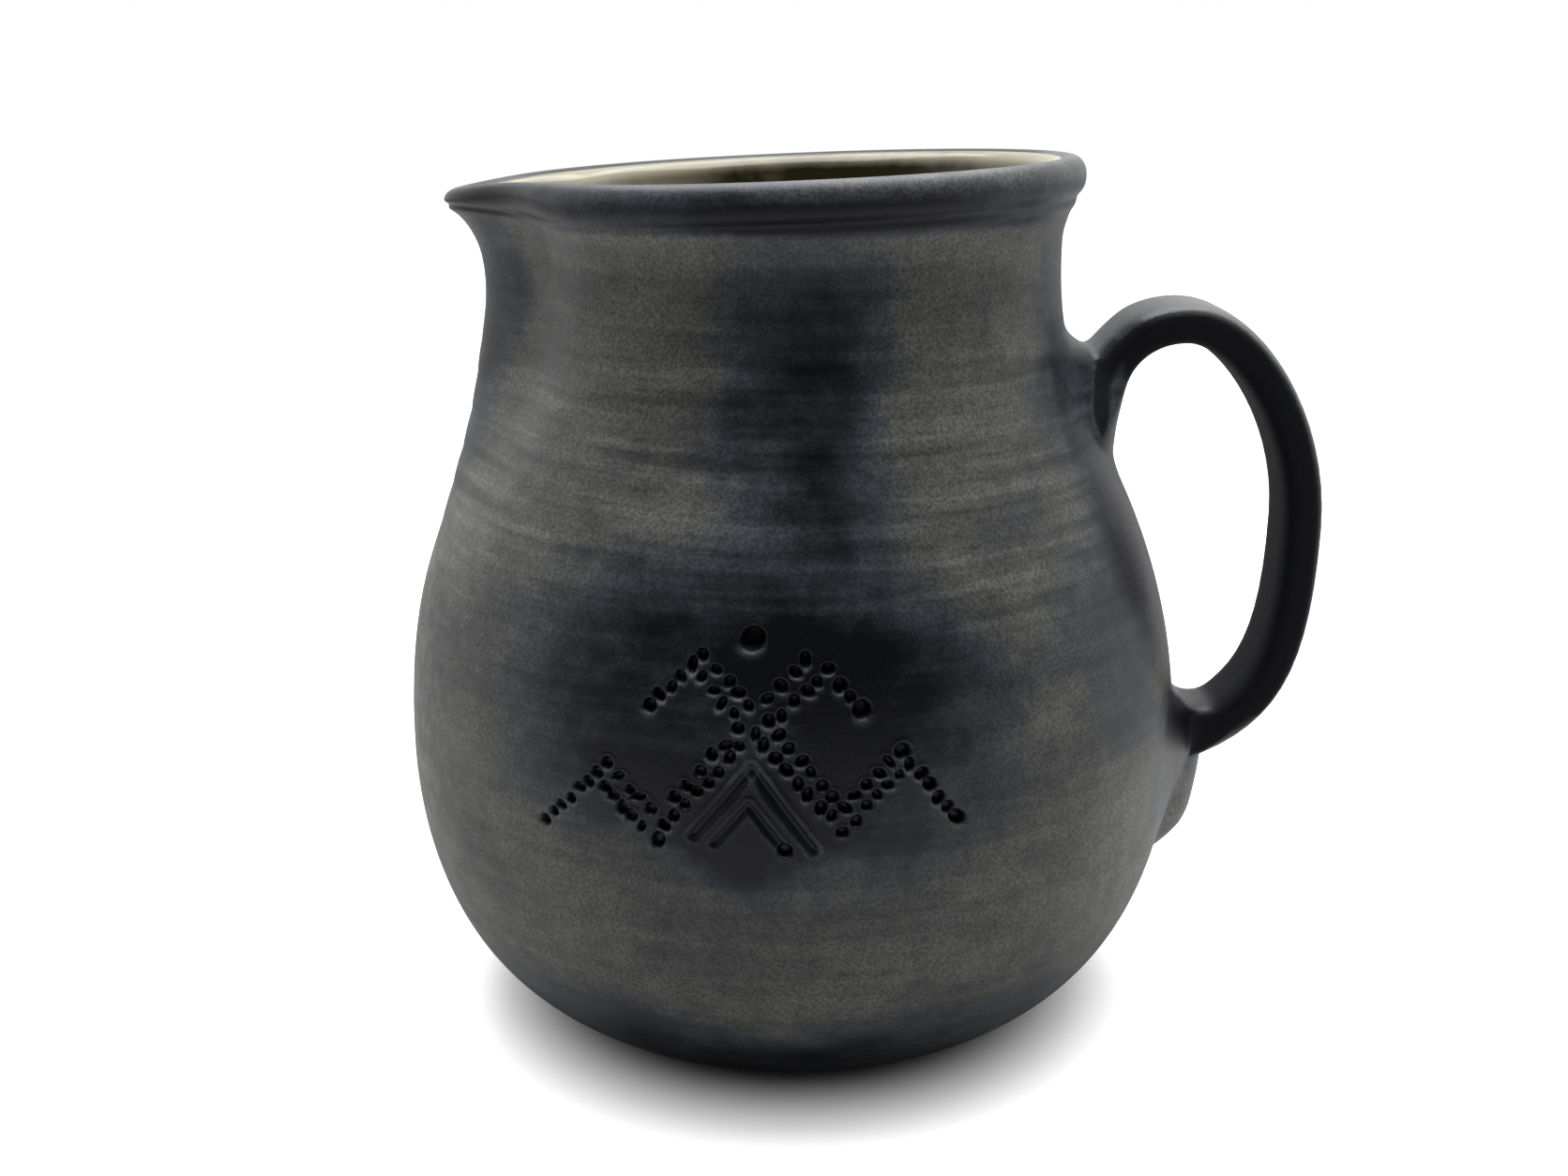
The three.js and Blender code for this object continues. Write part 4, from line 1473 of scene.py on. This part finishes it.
class Finishes:
    """Builds the jug's materials from shared node groups."""

    def __init__(self, clay: ClayFinish, glaze: GlazeFinish, form: ThrownForm) -> None:
        """Keep the finishes and make the shared groups.

        Args:
            clay: Finish of the clay.
            glaze: Finish of the inside.
            form: Shape of the pot, for the heights of the rim and foot.
        """
        self.clay = clay
        self.glaze = glaze
        self.form = form
        self.clouds = self.cloud_group()
        self.surface = self.surface_group()

    @staticmethod
    def group(name: str, inputs: dict[str, str], outputs: dict[str, str]) -> bpy.types.NodeTree:
        """Start a node group.

        Args:
            name: Name of the group.
            inputs: Socket type of each input.
            outputs: Socket type of each output.

        Returns:
            The empty group.
        """
        tree = bpy.data.node_groups.new(name, "ShaderNodeTree")
        for label, kind in inputs.items():
            tree.interface.new_socket(label, in_out="INPUT", socket_type=kind)
        for label, kind in outputs.items():
            tree.interface.new_socket(label, in_out="OUTPUT", socket_type=kind)
        return tree

    def level(self, g: Graph, axes: object) -> bpy.types.NodeSocket:
        """Find the thrown height of a spot, as before the rim was tilted."""
        sloped = g.times(axes["X"], self.form.rim_tilt / self.form.crest_radius)
        return g.math("SUBTRACT", axes["Z"], sloped)

    def cloud_group(self) -> bpy.types.NodeTree:
        """Build the group that tells how dark a spot is: blackening from the firing, with painted shade round
        the foot.

        Returns:
            The group.
        """
        clay, crest = self.clay, self.form.rim_height
        tree = self.group("soot_and_shade_clouds", {"Vector": "NodeSocketVector"}, {"Soot and shade": "NodeSocketFloat"})
        g = Graph(tree)
        spot = g.add("NodeGroupInput").outputs["Vector"]
        drift = g.noise(spot, *clay.drift_noise).outputs["Color"]
        centred = g.vector("SUBTRACT", drift, (0.5, 0.5, 0.5)).outputs[0]
        warped = g.vector("ADD", spot, g.scale(centred, clay.warp)).outputs[0]
        soot_and_shade = g.fade(g.noise(warped, *clay.broad_noise).outputs["Fac"], clay.broad_soot)
        for cloud in clay.clouds:
            away = g.vector("SUBTRACT", warped, cloud.centre).outputs[0]
            share = g.vector("DIVIDE", away, cloud.reach).outputs[0]
            length = g.vector("LENGTH", share, (0, 0, 0)).outputs["Value"]
            soot_and_shade = g.plus(soot_and_shade, g.fade(length, (*clay.cloud_edge, cloud.strength, 0.0)))
        axes = g.axes(warped)
        # Painted shade round the foot, darker towards the base and less towards the sides.
        aside = g.math("ABSOLUTE", g.plus(axes["X"], clay.foot_shade_shift))
        foot_shade_share = g.times(g.fade(axes["Z"], clay.foot_shade), g.fade(aside, clay.foot_shade_sides))
        axes = g.axes(spot)
        level = self.level(g, axes)
        worn = g.times(g.fade(level, clay.crest_wear, crest), g.fade(axes["X"], clay.crest_side))
        on_bead = g.fade(axes["Z"], clay.bead_soot, self.form.bead_foot)
        on_bead = g.times(on_bead, g.math("SUBTRACT", 1.0, worn))
        on_bead = g.times(on_bead, g.fade(axes["X"], clay.bead_side))
        far_edge = g.times(g.fade(axes["Y"], clay.far_side), g.fade(level, clay.far_crest, crest))
        for more in (foot_shade_share, on_bead, far_edge):
            soot_and_shade = g.plus(soot_and_shade, more)
        g.add("NodeGroupOutput", {"Soot and shade": soot_and_shade})
        return tree

    def surface_group(self) -> bpy.types.NodeTree:
        """Build the group that turns blackening and painted shade into colour, roughness and a fine grain.

        Returns:
            The group.
        """
        clay = self.clay
        outputs = {"Color": "NodeSocketColor", "Roughness": "NodeSocketFloat", "Normal": "NodeSocketVector"}
        tree = self.group("smoked_clay", {"Vector": "NodeSocketVector", "Soot and shade": "NodeSocketFloat"}, outputs)
        g = Graph(tree)
        entry = g.add("NodeGroupInput")
        spot = entry.outputs["Vector"]
        axes = g.axes(spot)
        flattened = g.vector("MULTIPLY", spot, clay.mottle_stretch).outputs[0]
        stretched = g.vector("MULTIPLY", spot, clay.streak_stretch).outputs[0]
        mottle = g.noise(flattened, *clay.mottle_noise).outputs["Fac"]
        streak = g.noise(stretched, *clay.streak_noise).outputs["Fac"]
        speckle = g.noise(spot, *clay.speckle_noise).outputs["Fac"]
        grain = g.noise(spot, *clay.grain_noise).outputs["Fac"]
        ringed = g.times(g.fade(axes["Z"], clay.rings_foot), g.fade(axes["Z"], clay.rings_head))
        ringed = g.math("MAXIMUM", ringed, clay.rings_least)
        body = g.mix(g.fade(mottle, clay.mottle_pale), clay.plain, clay.pale)
        body = g.mix(g.times(g.fade(streak, clay.dark_lines), ringed), body, clay.scored)
        lines = g.times(g.fade(streak, clay.pale_lines), ringed)
        scuffed = g.times(g.fade(axes["X"], clay.scuff_side), g.fade(speckle, clay.scuff_speckle))
        # Painted light on the lower wall on the handle's side.
        lit_flank = g.times(g.fade(axes["X"], clay.lit_flank_side), g.fade(axes["Z"], clay.lit_flank_head))
        neck = g.fade(axes["Z"], clay.neck_pale, self.form.bead_foot)
        for share in (lines, scuffed, lit_flank, neck):
            body = g.mix(share, body, clay.bare_and_lit)
        body = g.scale(body, g.times(g.fade(grain, clay.grain_grit), g.fade(speckle, clay.speckle_grit)))
        ragged = g.plus(g.fade(mottle, clay.mottle_ragged), g.fade(speckle, clay.speckle_ragged))
        ragged = g.plus(ragged, g.fade(streak, clay.streak_ragged))
        soot_and_shade = g.add("ShaderNodeClamp", {"Value": g.plus(entry.outputs["Soot and shade"], ragged)}).outputs[0]
        smoky = g.vector("MULTIPLY", body, clay.smoke_tint).outputs[0]
        colour = g.mix(soot_and_shade, g.mix(g.fade(soot_and_shade, clay.tinted), body, smoky), clay.soot_and_shade)
        cells = g.add("ShaderNodeTexVoronoi", {"Vector": spot, "Scale": clay.speck_scale}).outputs
        chance = g.add("ShaderNodeSeparateColor", {0: cells["Color"]}).outputs[0]
        lucky = g.math("GREATER_THAN", chance, clay.speck_chance)
        dot = g.times(g.fade(cells["Distance"], clay.speck_edge), lucky)
        rough = g.plus(g.fade(soot_and_shade, clay.roughness), g.fade(grain, clay.grain_roughness))
        relief = g.plus(grain, g.times(streak, clay.streak_relief))
        lifted = {"Height": relief, "Strength": clay.bump_strength, "Distance": clay.bump}
        normal = g.add("ShaderNodeBump", lifted).outputs["Normal"]
        sockets = {"Color": g.mix(dot, colour, clay.speck), "Roughness": rough, "Normal": normal}
        g.add("NodeGroupOutput", sockets)
        return tree

    def material(self, name: str) -> tuple[bpy.types.Material, Graph, bpy.types.Node]:
        """Start a material with a Principled shader.

        Args:
            name: Name of the material.

        Returns:
            The material, its graph and its shader.
        """
        made = bpy.data.materials.new(name)
        made.use_nodes = True
        made.node_tree.nodes.clear()
        g = Graph(made.node_tree)
        shader = g.add("ShaderNodeBsdfPrincipled")
        g.add("ShaderNodeOutputMaterial", {"Surface": shader.outputs[0]})
        return made, g, shader

    def clay_material(self, name: str, strap: bool) -> bpy.types.Material:
        """Make smoked clay, with a blacker strap if asked.

        Args:
            name: Name of the material.
            strap: Whether the piece is the strap, which keeps its shares of darkening with painted shade and
                of rubbed clay with a painted highlight.

        Returns:
            The material.
        """
        clay = self.clay
        made, g, shader = self.material(name)
        shader.inputs["Specular IOR Level"].default_value = clay.specular
        spot = g.add("ShaderNodeTexCoord").outputs["Object"]
        soot_and_shade = g.add("ShaderNodeGroup", {"Vector": spot}, node_tree=self.clouds).outputs["Soot and shade"]
        if strap:
            # The strap's darkening carries painted shade on its side and inner faces and at the upper root.
            black_and_shade = g.attribute("blackened_and_shaded")
            soot_and_shade = g.math("MAXIMUM", soot_and_shade, g.times(black_and_shade, clay.black_and_shade_share))
        else:
            # Worn lips, with a painted highlight, lighten the clay, and the holes darken it.
            soot_and_shade = g.math("SUBTRACT", soot_and_shade, g.times(g.attribute("worn"), clay.worn_share))
        surface = g.add("ShaderNodeGroup", {"Vector": spot, "Soot and shade": soot_and_shade}, node_tree=self.surface).outputs
        colour, rough = surface["Color"], surface["Roughness"]
        if strap:
            # Rubbed clay with a painted highlight on the strap's outer face.
            colour = g.mix(g.times(g.attribute("bared_and_lit"), clay.bared_and_lit_share), colour, clay.bare_and_lit)
            rough = g.math("MAXIMUM", rough, g.times(black_and_shade, clay.strap_roughness))
        g.feed(shader, {"Base Color": colour, "Roughness": rough, "Normal": surface["Normal"]})
        return made

    def glaze_material(self, name: str) -> bpy.types.Material:
        """Make the glossy inside, paler near the mouth where the glaze runs thinner, with a painted highlight
        there.

        Args:
            name: Name of the material.

        Returns:
            The material.
        """
        glaze, form = self.glaze, self.form
        made, g, shader = self.material(name)
        shader.inputs["Roughness"].default_value = glaze.roughness
        spot = g.add("ShaderNodeTexCoord").outputs["Object"]
        pool = g.noise(spot, *glaze.pool_noise).outputs["Fac"]
        axes = g.axes(spot)
        level = self.level(g, axes)
        # The pale share near the mouth and towards the spout is thinner glaze with a painted highlight.
        mouth = form.rim_height - form.mouth_depth
        ends = g.times(g.fade(level, glaze.spout_thin_and_highlit, mouth), g.fade(axes["X"], glaze.spout_side))
        thin_and_highlit = g.plus(g.fade(level, glaze.mouth_thin_and_highlit, mouth), ends)
        share = g.plus(thin_and_highlit, g.fade(pool, glaze.pooled))
        share = g.add("ShaderNodeClamp", {"Value": share}).outputs[0]
        rippled = {"Height": pool, "Strength": glaze.ripple_strength, "Distance": glaze.ripple}
        normal = g.add("ShaderNodeBump", rippled).outputs["Normal"]
        g.feed(shader, {"Base Color": g.mix(share, glaze.thick, glaze.thin_and_highlit), "Normal": normal})
        return made


@dataclass
class Jug:
    """The whole jug on its one body."""

    form: ThrownForm
    finishes: Finishes
    body: str = "root"

    def build(self) -> list[bpy.types.Object]:
        """Build and dress every piece.

        Returns:
            The pieces.
        """
        clay = self.finishes.clay_material("smoked_clay", strap=False)
        strap = self.finishes.clay_material("smoked_strap", strap=True)
        glaze = self.finishes.glaze_material("inner_glaze")
        pot = ThrownBody(self.form, Ornament()).build()
        self.dress(pot, clay, Slot.CLAY, "thrown_body")
        handle = StrapHandle(self.form).build()
        self.dress(handle, strap, Slot.STRAP, "handle", "upper_luting", "lower_luting")
        lining = GlazeLining(self.form).build()
        self.dress(lining, glaze, Slot.GLAZE, "glaze_lining")
        return [pot, handle, lining]

    def dress(self, piece: bpy.types.Object, material: bpy.types.Material, slot: Slot, *nodes: str) -> None:
        """Give a piece its material and its place in the frame.

        Args:
            piece: Piece to dress.
            material: Its material.
            slot: Its slot in the record; not used.
            nodes: The frame's nodes that it stands for.
        """
        piece.data.materials.clear()
        piece.data.materials.append(material)
        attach(piece, self.body)
        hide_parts(*nodes)

    @staticmethod
    def keep_within(pieces: list[bpy.types.Object], low: Vector, high: Vector) -> None:
        """Hold every point inside the frame's box."""
        for piece in pieces:
            move_points(piece, np.clip(points_of(piece), np.array(low), np.array(high)))


@dataclass
class Studio:
    """White floor, light tent, lamp and camera."""

    floor_size: float = 4.0
    floor_drop: float = 0.05 * MM
    floor_white: float = 0.86
    floor_bounce: float = 0.55
    sheet_end: float = -140 * MM
    sheet_fade: float = 110 * MM
    sheet_shade: float = 0.4
    front_light: float = 0.03
    front_edge: float = -0.55
    back_edge: float = 0.3
    tent_light: float = 1.0
    # Painted contact shadow: the floor's camera-only glow fades in between these distances from the axis.
    painted_shadow_inner: float = 39.5 * MM
    painted_shadow_outer: float = 65 * MM
    floor_lift: float = 0.8
    top_light: float = 9.0
    top_place: Pair = (0.02, 0.15)
    top_height: float = 0.75
    top_tilt: float = -11
    top_size: float = 0.8
    camera_distance: float = 294.1 * MM
    camera_height: float = 155.2 * MM
    camera_pitch: float = 16.15
    focal_pixels: float = 1900
    picture_width: float = 1672
    picture_shift: float = 10.6
    sensor: float = 36.0
    near_clip: float = 5 * MM

    def build(self, ground: float) -> None:
        """Set up the floor, the light and the camera.

        Args:
            ground: Height that the jug stands on.
        """
        self.floor(ground)
        self.tent()
        self.lamp()
        self.camera()

    def floor(self, ground: float) -> None:
        """Lay the white floor, with a painted contact shadow round the jug.

        Args:
            ground: Height that the jug stands on.
        """
        bpy.ops.object.select_all(action="DESELECT")
        bpy.ops.mesh.primitive_plane_add(size=self.floor_size, location=(0, 0, ground - self.floor_drop))
        floor = bpy.context.object
        floor.name = "floor"
        made = bpy.data.materials.new("floor_white")
        made.use_nodes = True
        made.node_tree.nodes.clear()
        g = Graph(made.node_tree)
        seen = g.add("ShaderNodeLightPath").outputs["Is Camera Ray"]
        white = (self.floor_white, self.floor_white, self.floor_white, 1)
        spot = g.add("ShaderNodeTexCoord").outputs["Object"]
        sheet = (-self.sheet_fade, 0, self.sheet_shade, self.floor_bounce)
        grey = g.fade(g.axes(spot)["Y"], sheet, self.sheet_end)
        paper = g.add("ShaderNodeBsdfDiffuse", {"Color": g.mix(seen, grey, white)})
        # Painted contact shadow: the floor glows for the camera only away from the jug, so a dark ring stays
        # round its base.
        away = g.vector("LENGTH", spot, (0, 0, 0)).outputs["Value"]
        lift = g.fade(away, (self.painted_shadow_inner, self.painted_shadow_outer, 0.0, self.floor_lift))
        glow = g.add("ShaderNodeEmission", {"Strength": g.times(lift, seen)})
        both = g.add("ShaderNodeAddShader", {0: paper.outputs[0], 1: glow.outputs[0]})
        g.add("ShaderNodeOutputMaterial", {"Surface": both.outputs[0]})
        floor.data.materials.append(made)
        floor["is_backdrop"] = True

    def tent(self) -> None:
        """Light the jug from a white tent that is dark on the camera's side."""
        world = bpy.data.worlds.new("tent")
        bpy.context.scene.world = world
        world.use_nodes = True
        world.node_tree.nodes.clear()
        g = Graph(world.node_tree)
        way = g.add("ShaderNodeTexCoord").outputs["Generated"]
        light = (self.front_edge, self.back_edge, self.front_light, self.tent_light)
        glow = g.fade(g.axes(way)["Y"], light)
        tent = g.add("ShaderNodeBackground", {"Color": (1, 1, 1, 1), "Strength": glow})
        white = g.add("ShaderNodeBackground", {"Color": (1, 1, 1, 1), "Strength": 1.0})
        seen = g.add("ShaderNodeLightPath").outputs["Is Camera Ray"]
        both = g.add("ShaderNodeMixShader", {0: seen, 1: tent.outputs[0], 2: white.outputs[0]})
        g.add("ShaderNodeOutputWorld", {"Surface": both.outputs[0]})

    def lamp(self) -> None:
        """Hang a soft lamp overhead."""
        light = bpy.data.lights.new("overhead", "AREA")
        light.shape = "SQUARE"
        light.size = self.top_size
        light.energy = self.top_light
        lamp = bpy.data.objects.new("overhead", light)
        lamp.location = (*self.top_place, self.top_height)
        lamp.rotation_euler = (math.radians(self.top_tilt), 0, 0)
        bpy.context.scene.collection.objects.link(lamp)

    def camera(self) -> None:
        """Stand the camera where the photograph was taken from."""
        lens = bpy.data.cameras.new("camera")
        lens.sensor_width = self.sensor
        lens.lens = self.sensor * self.focal_pixels / self.picture_width
        lens.shift_x = -self.picture_shift / self.picture_width
        lens.clip_start = self.near_clip
        camera = bpy.data.objects.new("camera", lens)
        camera.location = (0, -self.camera_distance, self.camera_height)
        camera.rotation_euler = (math.radians(90 - self.camera_pitch), 0, 0)
        bpy.context.scene.collection.objects.link(camera)
        bpy.context.scene.camera = camera
        bpy.context.scene.view_settings.view_transform = "Standard"


def main() -> None:
    """Build the jug over the frame, set the studio and log each piece's face count."""
    logging.basicConfig(level=logging.INFO, format="%(name)s: %(message)s")
    low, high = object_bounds()
    form = ThrownForm()
    jug = Jug(form, Finishes(ClayFinish(), GlazeFinish(), form))
    pieces = jug.build()
    jug.keep_within(pieces, low, high)
    Studio().build(low.z)
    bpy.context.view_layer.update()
    for piece in pieces:
        LOG.info("%s has %d faces", piece.name, len(piece.data.polygons))


if __name__ == "__main__":
    main()
